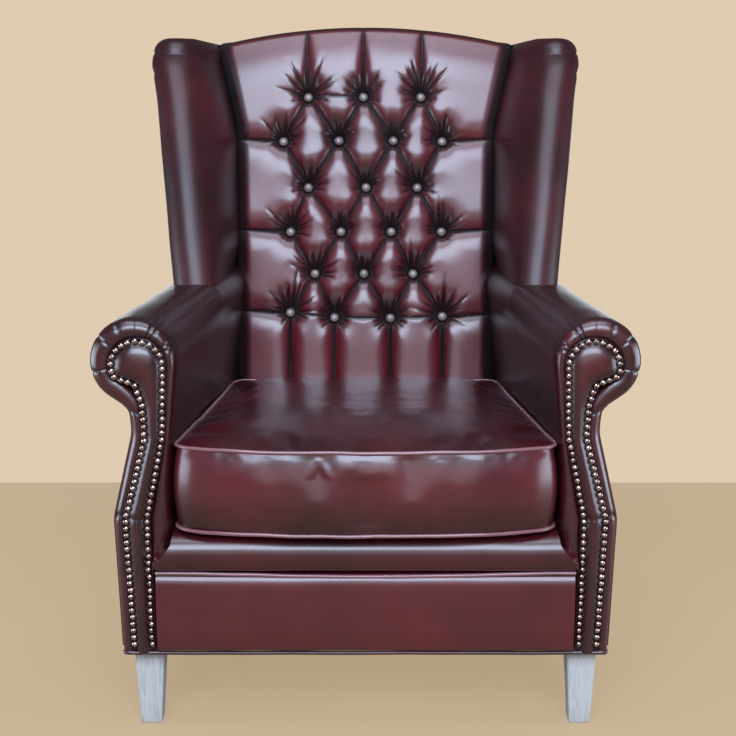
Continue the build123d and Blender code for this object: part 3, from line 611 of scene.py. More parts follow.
def back_shade(x, up):
    """How high the leather of the back lies, with painted shade: dark in the pleats, folds and pits, in a
    patch above each button, along the sides by the wings and along the top edge.
    """
    # Painted shade along the sides next to the wings, along the top edge, above each button and in the
    # pleats.
    shade = ramp(np.abs(x) - back_half_width(up), -30, -8)
    shade = np.maximum(shade, 0.8 * ramp(up - camel_top(x), -9, -3))
    for x0, up0 in buttons:
        shade = np.maximum(shade, 0.5 * bell(np.hypot(x - x0, up - up0 - 15), 25))
    shade = np.maximum(shade, line_nearness(x, up, 2.6, 1.9))
    return 0.92 - 0.88 * shade - tuft_depth(x, up) / 90


# %% The buttoned surface
SIDE_EDGE, TOP_EDGE = 26.0, 17.0  # radii with which the pad turns over at its sides and top
TURN_SHARE = 0.06  # share of the hide that turns over
FOOT_SHARE = 0.12  # share of the hide that is laid closer, at the foot


def spread(u, v):
    """Where a place of the flat hide goes on the back: across, up, and its turns at side and top."""
    side = ramp(np.abs(2 * u - 1), 1 - TURN_SHARE, 1) * math.pi / 2
    over = ramp(v, 1 - TURN_SHARE, 1) * math.pi / 2
    flat = np.clip((2 * u - 1) / (1 - TURN_SHARE), -1, 1)
    upper = 0.2 + 0.8 * ramp(v, FOOT_SHARE, 1 - TURN_SHARE)
    up_share = np.where(v < FOOT_SHARE, v / FOOT_SHARE * 0.2, upper)
    up = BACK_FOOT + (BACK_TOP - BACK_FOOT - TOP_EDGE) * up_share
    x = flat * (back_half_width(up) - SIDE_EDGE)
    up = BACK_FOOT + (camel_top(x) - TOP_EDGE - BACK_FOOT) * up_share
    x = flat * (back_half_width(up) - SIDE_EDGE)
    x = x + np.sign(flat) * SIDE_EDGE * np.sin(side)
    up = up + TOP_EDGE * np.sin(over)
    fade = np.cos(side) * np.cos(over)
    drop = SIDE_EDGE * (1 - np.cos(side)) + TOP_EDGE * (1 - np.cos(over))
    drop = drop + 15 * ramp(up - camel_top(x), -95, 0) ** 2
    return x, up, fade, drop


def on_back(u, v):
    """The front of the buttoned back, rounded over at its sides and top."""
    x, up, fade, drop = spread(u, v)
    sag = 2.0 * ripple_at(x, up, 0 * x, 120, 3)
    out = crown(x) - drop - tuft_depth(x, up) * (0.25 + 0.75 * fade) + sag * fade
    return back_point(x, up, out)


def by_lines(limit):
    """A rule that says which places lie near a pleat."""
    return lambda u, v: line_nearness(*spread(u, v)[:2], 4.0, 3.0) > limit


diamond = tuft_depth(np.array([0.0]), np.array([750.0]))
print("the leather sinks", round(float(diamond[0]), 1), "mm inside a diamond")

# %% Buttoned back
REAR_FACE = 9.0  # how far out of the slope the pad's rear lies
fine_across, fine_up = ((125, 180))
back = skin(fine_across, fine_up, on_back, closer=(by_lines(0.35), by_lines(0.55)))
with edit_mode("DESELECT"):
    bpy.ops.mesh.select_non_manifold()
    bpy.ops.mesh.extrude_region_move()
co = points_of(back) / mm
rim = np.array([v.select for v in back.data.vertices])
co[rim] = back_point(co[rim, 0], up_slope(co[rim]), np.full(rim.sum(), REAR_FACE))
move_points(back, co * mm)
with edit_mode(None):
    bpy.ops.mesh.edge_face_add()
weld(back)
co = points_of(back) / mm
shade = back_shade(co[:, 0], up_slope(co))
finish_piece(back, "buttoned_back", ("back_cover", "back_foam"), rub_and_shade=shade, angle=80)

# %% [markdown]
# The buttons are metal shells covered in scraps of the hide. A sphere is flattened into a dome with a
# rolled rim, copied to each pit and tipped a little, since no two buttons sit quite alike.

# %% Covered buttons
pattern = new_primitive(bpy.ops.mesh.primitive_uv_sphere_add, segments=24, ring_count=12, radius=1)
dome = points_of(pattern)
width = np.hypot(dome[:, 0], dome[:, 1])
dome[:, 2] = np.where(dome[:, 2] > 0, 0.72 * np.abs(dome[:, 2]) ** 0.8, 0.4 * dome[:, 2])
dome[:, 2] -= 0.1 * bell(width - 0.78, 0.1) * (dome[:, 2] > 0)
dome *= np.array([7.6, 7.6, 8.0])
copies = []
for x0, up0 in buttons:
    twin = copy_of(pattern)
    tip_x, tip_up = chance.uniform(-0.12, 0.12), chance.uniform(-0.12, 0.12)
    out = crown(x0) - TUFT + 2.5 + dome[:, 2] + tip_x * dome[:, 0] + tip_up * dome[:, 1]
    move_points(twin, mm * back_point(x0 + dome[:, 0], up0 + dome[:, 1], out))
    copies.append(twin)
bpy.data.objects.remove(pattern)
finish_piece(joined(copies), "covered_buttons", ("back_buttons",), "button_leather", angle=180)

# %% [markdown]
# The arm is one long outline drawn from the front: up the inside, round the scroll, in at the neck
# and down over the hip. It is written as the corners and the arc that the frame has, walked in small
# steps, and then smoothed a little, because leather never follows a sharp corner. All of it is written
# for x counted outwards, and a side of -1 or 1 turns it into the left or the right arm.

# %% Outlines of the arm
SIDES = ((-1, "left"), (1, "right"))
SCROLL_X, SCROLL_Z, SCROLL_R = 336.0, 562.0, 64.0
NECK_Z = 486.0  # the underside of the arm roll


def lengths_along(line):
    """The length walked up to each point of a line."""
    return np.r_[0, np.cumsum(np.hypot(*np.diff(line, axis=0).T))]


def walk(corners, step=2.0, closed=False):
    """Points along a run of corners, a small step apart."""
    corners = np.array(corners + corners[:1] if closed else corners, float)
    lengths = lengths_along(corners)
    at = np.linspace(0, lengths[-1], int(round(lengths[-1] / step)) + 1)
    return np.column_stack([np.interp(at, lengths, corners[:, i]) for i in (0, 1)])


def softened(line, reach, closed=False):
    """A line with its corners rounded off over a reach of points."""
    weights = np.hanning(2 * reach + 3)[1:-1]
    weights /= weights.sum()
    if closed:
        longer = np.vstack([line[-reach - 1 : -1], line, line[1 : reach + 1]])
    else:
        before, after = 2 * line[0] - line[reach:0:-1], 2 * line[-1] - line[-2 : -reach - 2 : -1]
        longer = np.vstack([before, line, after])
    return np.column_stack([np.convolve(longer[:, i], weights, "valid") for i in (0, 1)])


def outward(loop, closed):
    """Unit normals of an outline, pointing left of its direction."""
    ahead = np.roll(loop, -1, axis=0) if closed else np.vstack([loop[1:], 2 * loop[-1] - loop[-2]])
    behind = np.roll(loop, 1, axis=0) if closed else np.vstack([2 * loop[0] - loop[1], loop[:-1]])
    run = ahead - behind
    run /= np.hypot(run[:, 0], run[:, 1])[:, None] + 1e-9
    return np.column_stack([-run[:, 1], run[:, 0]])


def along_line(line, u):
    """The place at a share u of the way along a line of points."""
    at = u * (len(line) - 1)
    return [np.interp(at, np.arange(len(line)), line[:, i]) for i in (0, 1)]


angles = np.radians(np.linspace(-12, 228, 60))
scroll = [(SCROLL_X - SCROLL_R * math.cos(a), SCROLL_Z + SCROLL_R * math.sin(a)) for a in angles]
side_line = [(343, 490), (340, 455), (370, 326), (362, 127)]
side_foot = side_line[:-1] + [(361.9, 124.5)]
inner_side = [(285, 297), (285, 390), (281, 460)]
whole_outline = softened(walk([(307, 124.5), (309, 252)] + inner_side + scroll + side_foot), 9)
roll_corners = [(305, 297)] + inner_side + scroll + [(343, 490), (343, NECK_Z), (305, NECK_Z)]
roll_outline = softened(walk(roll_corners, closed=True), 7, True)
outer_line = softened(walk([(352, 497)] + side_line), 7)
print("outline of an arm", len(whole_outline), "points")


# %% [markdown]
# The leather of the arm is drawn forwards over the scroll and gathered in pleats, which run from
# under the nails, over the front edge and a hand's breadth back along the roll. The same rule of
# pleats shapes both the padded band at the front and the roll behind it, so the two join unseen.

# %% Pleats round the scroll
# Each pleat has its angle round the scroll and its depth.
scroll_pleats = [
    (22, 3.0), (30, 2.4), (54, 3.2), (62, 3.4), (88, 1.2), (114, 3.2), (145, 3.0), (196, 3.4),
]
# Each crease at the neck and hip has its height, its slope and its depth.
level_creases = [(487, 0.25, 3.0), (331, 0.1, 2.4), (339, -0.1, 1.4)]
PLEAT_TWIST = 0.12  # degrees that a pleat turns for each millimetre back


def scroll_pleat(x, z, setback):
    """How deep the pleats press in at a place on the arm, for x counted outwards."""
    angle = np.degrees(np.arctan2(z - SCROLL_Z, SCROLL_X - x))
    angle = np.where(angle < -60, angle + 360, angle)
    behind = np.clip(setback - FACING, 0, None)
    total = np.zeros_like(x)
    for at, depth in scroll_pleats:
        gap = np.abs(angle - at - PLEAT_TWIST * (setback - FACING)) * SCROLL_R * math.pi / 180
        total += depth * np.exp(-gap / 1.7)
    away = np.hypot(x - SCROLL_X, z - SCROLL_Z)
    total = total * np.exp(-behind / 24) * ramp(away, 34, 42) * ramp(z, 480, 510)
    for level, slope, depth in level_creases:
        gap = np.abs(z - level - slope * (x - 330))
        total += depth * np.exp(-gap / 2.2) * ramp(x, 318, 330) * np.exp(-behind / 12)
    return total


def arm_press(co, side):
    """The same pleats at points of a finished piece, and how far back the points lie."""
    setback = co[:, 1] - FRONT_Y
    return scroll_pleat(side * co[:, 0] + TOE * setback, co[:, 2], setback), setback


def arm_rear(z):
    """Setback of the rear of an arm, where it meets the outside back."""
    return rear_at(z) - 6


# %% Arm rolls
SHUT_SHARE = 0.06  # share of the roll's hide that closes each end
SPINE = (325.0, 540.0)  # where the ends of the roll close


def arm_roll(side, name):
    """The stuffed roll of one arm, closed at both ends."""
    loop = roll_outline[:-1]
    normals = outward(loop, True)
    loop, normals = np.vstack([loop, loop[:1]]), np.vstack([normals, normals[:1]])

    def place(u, v):
        x, z = along_line(loop, u)
        nx, nz = along_line(normals, u)
        share = ramp(v, SHUT_SHARE, 1 - SHUT_SHARE) ** 1.25
        setback = FACING + (arm_rear(z) - FACING) * share
        shut = ramp(v, SHUT_SHARE, 0) + ramp(v, 1 - SHUT_SHARE, 1)
        lumps = ripple_at(side * x, setback, z, 95, 5) * ramp(setback, 30, 90)
        angle = np.clip(np.arctan2(z - SCROLL_Z, SCROLL_X - x), 0, math.pi / 2)
        squarer = 16 * ramp(setback, 120, 340) ** 1.5 * np.sin(2 * angle) ** 2
        press = scroll_pleat(x, z, setback) - 1.2 * lumps - squarer
        x, z = x - nx * press, z - nz * press
        inner = z < NECK_Z
        x = x + (np.where(inner, 295.0, SPINE[0]) - x) * shut
        z = z + (np.where(inner, z, SPINE[1]) - z) * shut
        setback = FACING + (arm_rear(z) - FACING) * share
        return np.column_stack([side * (x - TOE * setback), FRONT_Y + setback, z])

    piece = skin(len(loop) - 1, 150, place)
    press, setback = arm_press(points_of(piece) / mm, side)
    # Painted shade: darker in the pleats and along the seam where the roll meets the band.
    shade = 0.46 - press / 7 - 0.2 * np.exp(-np.abs(setback - 22) / 6)
    finish_piece(
        piece, f"{name}_arm_roll", (f"{name}_arm_pad", f"{name}_arm_cover"),
        rub_and_shade=shade, polish=0.4,
    )


for side, name in SIDES:
    arm_roll(side, name)

# %% [markdown]
# The padded band fills the front of the arm between the outer edge and the nails. It turns over the
# front edge in a quarter circle, swells a little, and sinks again where the nails hold it down.

# %% Padded bands at the arm fronts
BAND_TURN = math.radians(152)  # how far the band turns over, from its outer edge to the nails


def stud_path():
    """The line of nails, for x counted outwards: up the inside, round the scroll, down the outside."""
    curl = np.radians(np.linspace(0, 205, 40))
    line = [(315, 125), (319, 330), (294, 450), (291, 557)]
    line += [(328 - 37 * math.cos(a), 557 + 37 * math.sin(a)) for a in curl]
    line += [(331, 531), (321, 500), (319, 450), (350, 330), (341, 125)]
    return softened(walk(line, 1.0), 9)


nail_line = stud_path()
nail_lengths = lengths_along(nail_line)


def nail_gap(co, side):
    """How far each point lies from the line of nails, seen from the front."""
    gap = np.full(len(co), 99.0)
    for x, z in nail_line[::4]:
        gap = np.minimum(gap, np.hypot(side * co[:, 0] - x, co[:, 2] - z))
    return gap


def nearest_nail_line(outline):
    """For each outline point, the point of the nail line that faces it."""
    shares = [int(np.argmin(np.hypot(nail_line[:, 0] - x, nail_line[:, 1] - z))) for x, z in outline]
    return softened(nail_line[np.maximum.accumulate(np.array(shares))], 6)


band_inner = nearest_nail_line(whole_outline)
band_normals = outward(whole_outline, False)


def arm_band(side, name):
    """The padded band round the front of one arm."""

    def place(u, v):
        x, z = along_line(whole_outline, u)
        nx, nz = along_line(band_normals, u)
        inner_x, inner_z = along_line(band_inner, u)
        turn = v * BAND_TURN
        share = (1 - np.cos(turn)) / (1 - math.cos(BAND_TURN))
        setback = FACING - (FACING - 1) * np.sin(turn)
        x, z = x + (inner_x - x) * share, z + (inner_z - z) * share
        press = scroll_pleat(x, z, setback) * (1 - 0.5 * v)
        setback = setback + press * np.sin(turn)
        inwards = press * np.clip(np.cos(turn), 0, 1)
        x, z = x - nx * inwards, z - nz * inwards
        setback += 0.8 * ripple_at(side * x, z, 0 * x, 38, 8)
        setback = setback + 3.0 * ramp(v, 0.8, 1)
        return np.column_stack([side * (x - TOE * np.clip(setback, 6, FACING)), FRONT_Y + setback, z])

    piece = skin(len(whole_outline) - 1, 18, place)
    shape_with(piece, "SOLIDIFY", thickness=2 * mm, offset=-1)
    co = points_of(piece) / mm
    press, setback = arm_press(co, side)
    # Darker in the pleats, beside the nails and where the band turns back under the roll: the black rub of
    # the antiquing gathers there, and the rest is painted shade.
    shade = 0.66 - press / 7 - 0.5 * np.exp(-nail_gap(co, side) / 4) - 0.25 * ramp(setback, 4, 18)
    finish_piece(piece, f"{name}_arm_band", (f"{name}_arm_front_band",), rub_and_shade=shade, angle=70)


for side, name in SIDES:
    arm_band(side, name)

# %% [markdown]
# The facing is a thin board with a scrap of wadding, covered and nailed on last to hide the ends of
# the leather. Its outline has a curl, which no grid follows easily, so the engineering solid is
# copied, remeshed into small even squares and relaxed until its edges are soft.

# %% Helper that softens a copied solid
def softened_copy(node_name, voxel, rounds):
    """A copy of an engineering solid as an even mesh with relaxed edges."""
    piece = copy_of(nodes[node_name])
    weld(piece, 0.00002)
    shape_with(piece, "REMESH", mode="VOXEL", voxel_size=voxel * mm)
    with edit_mode():
        bpy.ops.mesh.vertices_smooth(factor=0.5, repeat=rounds)
    return piece


# %% Arm facings
for side, name in SIDES:
    facing = softened_copy(f"{name}_arm_facing", 2.2, 5)
    co = points_of(facing) / mm
    front = co[:, 1] < FRONT_Y + 6
    gap = nail_gap(co, side)
    swell = np.sqrt(1 - (1 - ramp(gap, 3, 25)) ** 2) + 0.25 * ramp(gap, 0, 36)
    swell = swell - 0.22 * np.exp(-np.abs(co[:, 2] - 331) / 4)
    lumps = ripple(co * np.array([1, 0, 1]), 30, 2)
    co[:, 2] -= 3.5 * ramp(co[:, 2], 150, 135)
    co[front, 1] += 2.5 - 10.5 * swell[front] + 0.6 * lumps[front]
    move_points(facing, co * mm)
    # Lighter on the dome, where the antiquing is rubbed off, and darker towards the nails and along the
    # waist crease as painted shade.
    shade = 0.22 + 0.42 * swell
    finish_piece(facing, f"{name}_facing", (f"{name}_arm_facing",), rub_and_shade=shade, angle=60)

# %% [markdown]
# The nails are domed bronze heads, hammered in touching one another. There are nearly a hundred on
# each arm, so each has only a few dozen faces. A sphere's upper half is flattened and copied along the
# line, every copy turned and lifted by chance, as a hammer leaves them.

# %% Nails along the arm fronts
NAIL_STEP, FIRST_NAIL = 10.4, 13.0
HEAD_SIZE = np.array([4.5, 4.5, 3.6])
NAIL_LIFT = 1.4  # how far a head's rim stands before the arm's front face
head = new_primitive(bpy.ops.mesh.primitive_uv_sphere_add, segments=12, ring_count=8, radius=1)
with edit_mode():
    bpy.ops.mesh.bisect(plane_co=(0, 0, -0.05), plane_no=(0, 0, 1), clear_inner=True, use_fill=True)
head_co = points_of(head)
nailed = nail_lengths[-1] - 2 * FIRST_NAIL
nail_count = int(round(nailed / NAIL_STEP))
for side, name in SIDES:
    copies = []
    for step in range(nail_count + 1):
        at = FIRST_NAIL + nailed * step / nail_count
        x = np.interp(at, nail_lengths, nail_line[:, 0]) + chance.uniform(-0.5, 0.5)
        z = np.interp(at, nail_lengths, nail_line[:, 1]) + chance.uniform(-0.3, 0.3)
        local = head_co * HEAD_SIZE * chance.uniform(0.96, 1.04)
        lean_x, lean_z = chance.uniform(-0.16, 0.16), chance.uniform(-0.16, 0.16)
        out = local[:, 2] + lean_x * local[:, 0] + lean_z * local[:, 1]
        y = FRONT_Y - NAIL_LIFT - out
        twin = copy_of(head)
        move_points(twin, mm * np.column_stack([side * x + local[:, 0], y, z + local[:, 1]]))
        copies.append(twin)
    nails = joined(copies)
    weld(nails, 0.00001)
    finish_piece(nails, f"{name}_nails", (f"{name}_arm_studs",), "antique_brass", rub_and_shade=None, angle=60)
bpy.data.objects.remove(head)

# %% [markdown]
# The outside arm is a plain panel of hide, drawn tight from under the roll down to the base. Its
# section is the same softened line as the band's, so the two meet in one clean seam.

# %% Outside arms
def outside_arm(side, name):
    """The outer panel of one arm, which bellies out a little."""

    def place(u, v):
        x, z = along_line(outer_line, u)
        setback = FACING + (arm_rear(z) - FACING) * v
        give = 2.0 * np.sin(math.pi * np.clip(v, 0, 1)) * np.sin(math.pi * u)
        lumps = ripple_at(side * x, setback, z, 150, 4)
        x = x + give + 0.8 * lumps * np.sin(math.pi * v)
        return np.column_stack([side * (x - TOE * setback), FRONT_Y + setback, z])

    panel = skin(70, 90, place)
    shape_with(panel, "SOLIDIFY", thickness=3 * mm, offset=-1)
    finish_piece(panel, f"{name}_outside_panel", (f"{name}_outside_arm",))


for side, name in SIDES:
    outside_arm(side, name)

# %% [markdown]
# A wing is a board with a thick pad round its front edge. Seen from above it is a long rounded wedge,
# which changes from level to level and ends at the side line of the outside back. The levels are
# written down as height, setback of the front edge and outer half width. The grid runs round each
# level and up through them, then closes on top. Going round, it follows the outer side, turns over the
# nose, runs back along the inner side in one long curve, and goes deep behind the back's own pad.

# %% Section of a wing
side_profile = np.array([(0, 312), (202, 318), (333, 287), (369, 288), (541, 301), (887, 331), (909, 319)])
levels = np.array([
    (540, 285, 315), (560, 296, 318), (665, 340, 331), (812, 405, 352), (938, 470, 369),
    (1000, 512, 383), (1022, 543, 379), (1036, 585, 366),
])
NOSE_WIDE, NOSE_LONG = 42.0, 58.0
OUTER_END, NOSE_END, INNER_END, DEEP_END = 0.34, 0.58, 0.86, 0.94  # shares of the way round
NOSE_TURN = math.radians(130)
INNER_REAR = 78.0  # how far before the rear face the inner side ends
TOP_LEVEL = 1036


def level_at(z, column):
    """A level's value at height z, eased from one level to the next."""
    return sum(np.interp(z + shift, levels[:, 0], levels[:, column]) for shift in (-14, -7, 0, 7, 14)) / 5


def wing_section(u, z):
    """A place round the wing at height z, for x counted outwards."""
    front, outer = level_at(z, 1), level_at(z, 2)
    rear, up = arm_rear(z), (z - LEG_Z) / math.cos(RAKE)
    rear_outer = np.interp(up, side_profile[:, 0], side_profile[:, 1]) - 1
    rear_inner = back_half_width(up) - 6 + 12 * ramp(z, 670, 610)
    centre_x, centre_y = outer - NOSE_WIDE, front + NOSE_LONG
    outer_share, nose_share = ramp(u, 0, OUTER_END), ramp(u, OUTER_END, NOSE_END)
    inner_share, deep_share = ramp(u, NOSE_END, INNER_END), ramp(u, INNER_END, DEEP_END)
    rear_share = ramp(u, DEEP_END, 1)
    turn = nose_share * NOSE_TURN
    x = rear_outer + (outer - rear_outer) * outer_share - NOSE_WIDE * (1 - np.cos(turn))
    x = x + 3 * np.sin(math.pi * outer_share)
    y = rear + (centre_y - rear) * outer_share - NOSE_LONG * np.sin(turn)
    start_x = centre_x + NOSE_WIDE * math.cos(NOSE_TURN)
    start_y = centre_y - NOSE_LONG * math.sin(NOSE_TURN)
    bend_x = rear_inner + 5
    slope = NOSE_LONG * -math.cos(NOSE_TURN) / (NOSE_WIDE * math.sin(NOSE_TURN))
    bend_y = start_y + (start_x - bend_x) * slope
    first, last = (1 - inner_share) ** 2, inner_share**2
    middle = 2 * inner_share * (1 - inner_share)
    curve_x = start_x * first + bend_x * middle + rear_inner * last
    curve_y = start_y * first + bend_y * middle + (rear - INNER_REAR) * last
    x = np.where(u > NOSE_END, curve_x, x)
    y = np.where(u > NOSE_END, curve_y + INNER_REAR * deep_share, y)
    return np.where(u > DEEP_END, rear_inner + (rear_outer - rear_inner) * rear_share, x), y


print("front edge of a wing at its top", round(float(level_at(TOP_LEVEL, 1))), "mm behind the arms")

# %% [markdown]
# At the top the section is drawn in along a quarter circle, and then closes on a spine, a line from the
# nose to the rear. A few fold lines cross the nose, where the hide is turned round its tightest bend.

# %% Wings
WING_FOOT, WING_TOP, WING_EDGE = 545.0, 1037.0, 28.0
OVER_SHARE, CLOSE_SHARE = 0.86, 0.93  # where up the grid the top turns over, and where it closes
SPINE_LEAD, SPINE_REAR = 30, 738  # the spine starts this far behind the nose and ends here
FOLD_AT = 0.37  # share of the way round at which the folds cross the nose
nose_folds = ((1012, 4.5), (978, 4.5), (973, 2.0))  # height and depth of each


def wing(side, name):
    """One padded wing, with its inner and outer leather."""

    def place(u, v):
        z = WING_FOOT + (WING_TOP - WING_EDGE - WING_FOOT) * ramp(v, 0, OVER_SHARE)
        over = ramp(v, OVER_SHARE, CLOSE_SHARE) * math.pi / 2
        close = ramp(v, CLOSE_SHARE, 1)
        x, y = wing_section(u, z)
        ahead_x, ahead_y = wing_section((u + 0.002) % 1, z)
        behind_x, behind_y = wing_section((u - 0.002) % 1, z)
        run_x, run_y = ahead_x - behind_x, ahead_y - behind_y
        length = np.hypot(run_x, run_y) + 1e-9
        in_x, in_y = -run_y / length, run_x / length
        middle_x, middle_y = (level_at(z, 2) - 34 + 302) / 2, (level_at(z, 1) + 40 + SPINE_REAR) / 2
        sign = np.where(in_x * (middle_x - x) + in_y * (middle_y - y) < 0, -1, 1)
        in_by = WING_EDGE * (1 - np.cos(over))
        x, y = x + sign * in_x * in_by, y + sign * in_y * in_by
        z = z + WING_EDGE * np.sin(over)
        z = z - 11 * ramp(x, 310, 260) * ramp(z, 950, 1030)
        spine_front = level_at(TOP_LEVEL, 1) + SPINE_LEAD
        spine_y = np.clip(y, spine_front, SPINE_REAR)
        spine_ends = [level_at(TOP_LEVEL, 2) - SPINE_LEAD, 300]
        spine_x = np.interp(spine_y, [spine_front, 745], spine_ends)
        x, y = x + (spine_x - x) * close, y + (spine_y - y) * close
        lumps = ripple_at(side * x, y, z, 110, 6)
        at_nose = bell(u - FOLD_AT, 0.028) * (v < CLOSE_SHARE)
        for fold_z, depth in nose_folds:
            x = x - depth * at_nose * np.exp(-np.abs(z - fold_z - 90 * (u - FOLD_AT)) / 2.0)
        return np.column_stack([side * (x - 1.3 * lumps), FRONT_Y + y, z])

    piece = skin(180, 200, place)
    co = points_of(piece) / mm
    # Painted shade: the inner rear of each wing, next to the back, is darkened below its top.
    ahead = rear_at(co[:, 2]) - (co[:, 1] - FRONT_Y)
    shaded_rear = ramp(ahead, 130, 70) * (side * co[:, 0] < 285)
    shaded_rear *= ramp(co[:, 2], 1010, 970)
    finish_piece(
        piece, f"{name}_wing", (f"{name}_wing_foam", f"{name}_wing_cover", f"{name}_outside_wing"),
        rub_and_shade=0.6 - 0.45 * shaded_rear, angle=70, polish=0.15,
    )


for side, name in SIDES:
    wing(side, name)

# %% [markdown]
# The outside back is one large panel, pulled tight over the rear of the frame. It follows the camel
# top and the sides of the wings and arms, and bellies out by a few millimetres.

# %% Outside back
def outside_back_place(u, v):
    """Where a place of the rear panel lies."""
    flat = 2 * u - 1
    up = v * side_profile[-1, 0]
    half = np.interp(up, side_profile[:, 0], side_profile[:, 1])
    x = flat * half
    up = up + ramp(v, 0.8, 1) * (camel_top(x * CAMEL_HALF / half) + 8 - side_profile[-1, 0])
    belly = 5 * (1 - flat**2) ** 0.7 * np.sin(math.pi * np.clip(v, 0.02, 0.98)) ** 0.7
    lumps = 0.8 * ripple_at(x, up, 0 * x, 160, 9)
    return back_point(x, up, 1.0 - belly - lumps * (1 - flat**2))


rear_panel = skin(90, 120, outside_back_place)
shape_with(rear_panel, "SOLIDIFY", thickness=4 * mm, offset=-1)
# Painted light: the rear panel is set lighter than the outside arms, since little lamp light reaches it.
finish_piece(rear_panel, "rear_panel", ("outside_back",), rub_and_shade=0.85)

# %% [markdown]
# Below the cushion, the front of the seat is a stuffed roll with slanted ends, and under it a border
# panel. Each is a closed section, walked along the width of the chair. The roll's section is a nose
# that overhangs, and the border's is a shallow swell.

# %% Front roll and border
END_SHARE = 0.04  # share of a bar's half width that closes its end


def closed_strip(corners, half_width, bulge, seed):
    """A padded bar across the chair: a closed section in (setback, z), with its own half width."""
    section = softened(walk(corners, closed=True), 3, True)
    middle = section.mean(axis=0)

    def place(u, v):
        setback, z = along_line(section, u)
        flat = np.clip((2 * v - 1) / (1 - END_SHARE), -1, 1)
        shut = ramp(np.abs(2 * v - 1), 1 - END_SHARE, 1)
        x = flat * half_width(z)
        lumps = ripple_at(x, setback, z, 70, seed)
        setback = setback - ramp(setback, 8, -4) * (bulge * (1 - flat**6) + 1.0 * lumps)
        setback = setback + (middle[0] - setback) * shut
        z = z + (middle[1] - z) * shut
        return np.column_stack([x, FRONT_Y + setback, z])

    return skin(len(section) - 1, 150, place)


def roll_half_width(z):
    """Half the width of the front roll, whose ends slant in towards the top."""
    return np.interp(z, [252, 258, 297, 312], [309, 311, 283, 281])


roll_section = [
    (-8, 254), (-15, 257), (-21.5, 264), (-25, 273), (-26, 283), (-23.5, 293), (-17, 302), (-7, 308),
    (8, 310.5), (44, 309.5), (44, 290), (20, 290), (20, 254),
]
roll = closed_strip(roll_section, roll_half_width, 1.0, 12)
finish_piece(roll, "seat_roll", ("front_roll",), rub_and_shade=0.7, angle=70)
border_section = [
    (-5, 250), (-10, 246), (-14, 238), (-15.5, 226), (-15, 200), (-13, 160), (-9, 130),
    (18, 129), (18, 250),
]
border = closed_strip(border_section, lambda z: 306.5 + 0 * z, 0.6, 14)
finish_piece(border, "seat_border", ("front_border",), rub_and_shade=0.85, angle=60)

# %% [markdown]
# Piping is a cord wrapped in a strip of hide. A curve with a round bevel makes it, turned into a mesh
# at the end. Its points wander by half a millimetre, as sewing does. One cord runs between roll and
# border, and one round the base, where its route is read from the engineering model.

# %% Piping of the seat's front and the base
def piping(points, radius, name, replaced, body="chair", closed=True, wander=0.4, seed=1, rub_and_shade=0.9):
    """A tube through points in millimetres."""
    curve = bpy.data.curves.new(name, "CURVE")
    curve.dimensions = "3D"
    curve.bevel_depth = radius * mm
    curve.bevel_resolution = 4
    curve.use_fill_caps = not closed
    spline = curve.splines.new("POLY")
    stray = np.column_stack([ripple(points, 55, seed + more) for more in (0, 5, 9)])
    points = (points + wander * stray) * mm
    spline.points.add(len(points) - 1)
    spline.points.foreach_set("co", np.column_stack([points, np.ones(len(points))]).ravel())
    spline.use_cyclic_u = closed
    tube = bpy.data.objects.new(name, curve)
    bpy.context.collection.objects.link(tube)
    select_only(tube)
    bpy.ops.object.convert(target="MESH")
    tube = bpy.context.object
    weld(tube, 0.00001)
    finish_piece(tube, name, replaced, "piping_leather", body, rub_and_shade=rub_and_shade, angle=70)


xs = np.linspace(-307, 307, 120)
border_cord = np.column_stack([xs, np.full(120, FRONT_Y - 10.6), 251 - 5 * (1 - (xs / 307) ** 2) ** 2])
piping(border_cord, 3.0, "border_cord", ("border_piping",), closed=False, wander=0.7, seed=21)
base_co = points_of(nodes["base_piping"]) / mm
thick = np.ptp(base_co[:, 2]) / 2
front, rear = base_co[:, 1].min() + thick, base_co[:, 1].max() - thick
front_x = np.abs(base_co[base_co[:, 1] < front + 20, 0]).max() - thick
rear_x = np.abs(base_co[base_co[:, 1] > rear - 20, 0]).max() - thick
corners = [(0, front), (front_x, front), (rear_x, rear), (-rear_x, rear), (-front_x, front)]
base_line = softened(walk(corners, 4.0, closed=True), 2, True)[:-1]
base_cord = np.column_stack([base_line, np.full(len(base_line), base_co[:, 2].mean())])
# Painted shade: the base cord is the same piping leather set much darker, low by the floor.
piping(base_cord, thick, "base_cord", ("base_piping",), wander=0.5, seed=23, rub_and_shade=0.35)

# %% [markdown]
# The seat cushion is loose: a block of foam in a boxed cover, sewn with piping round the top and the
# bottom. A cube is subdivided and mapped to the boxed shape, and then cloth simulation with a little
# pressure swells the leather between the seams, which are pinned.

# %% Seat cushion before stuffing
DECK_Z = 311.0
SLOPE = math.radians(1.5)
WALL, CROWN = 128.0, 25.0
LOW_SEAM = 6.0
CUSHION_FRONT, CUSHION_MIDDLE = -30.0, 215.0
HALF_SEAT, CORNER = 280.5, 24.0
FRONT_SWELL, SIDE_SWELL, UNDER_HOLLOW = 8.0, 3.0, 5.5
STUFFING_LIMIT = 7.0  # how far the simulation may move the leather


def seat_point(x, setback, height):
    """A place above the sloping deck."""
    y = FRONT_Y + setback * math.cos(SLOPE) + height * math.sin(SLOPE)
    z = DECK_Z - setback * math.sin(SLOPE) + height * math.cos(SLOPE)
    return np.column_stack([x, y, z])


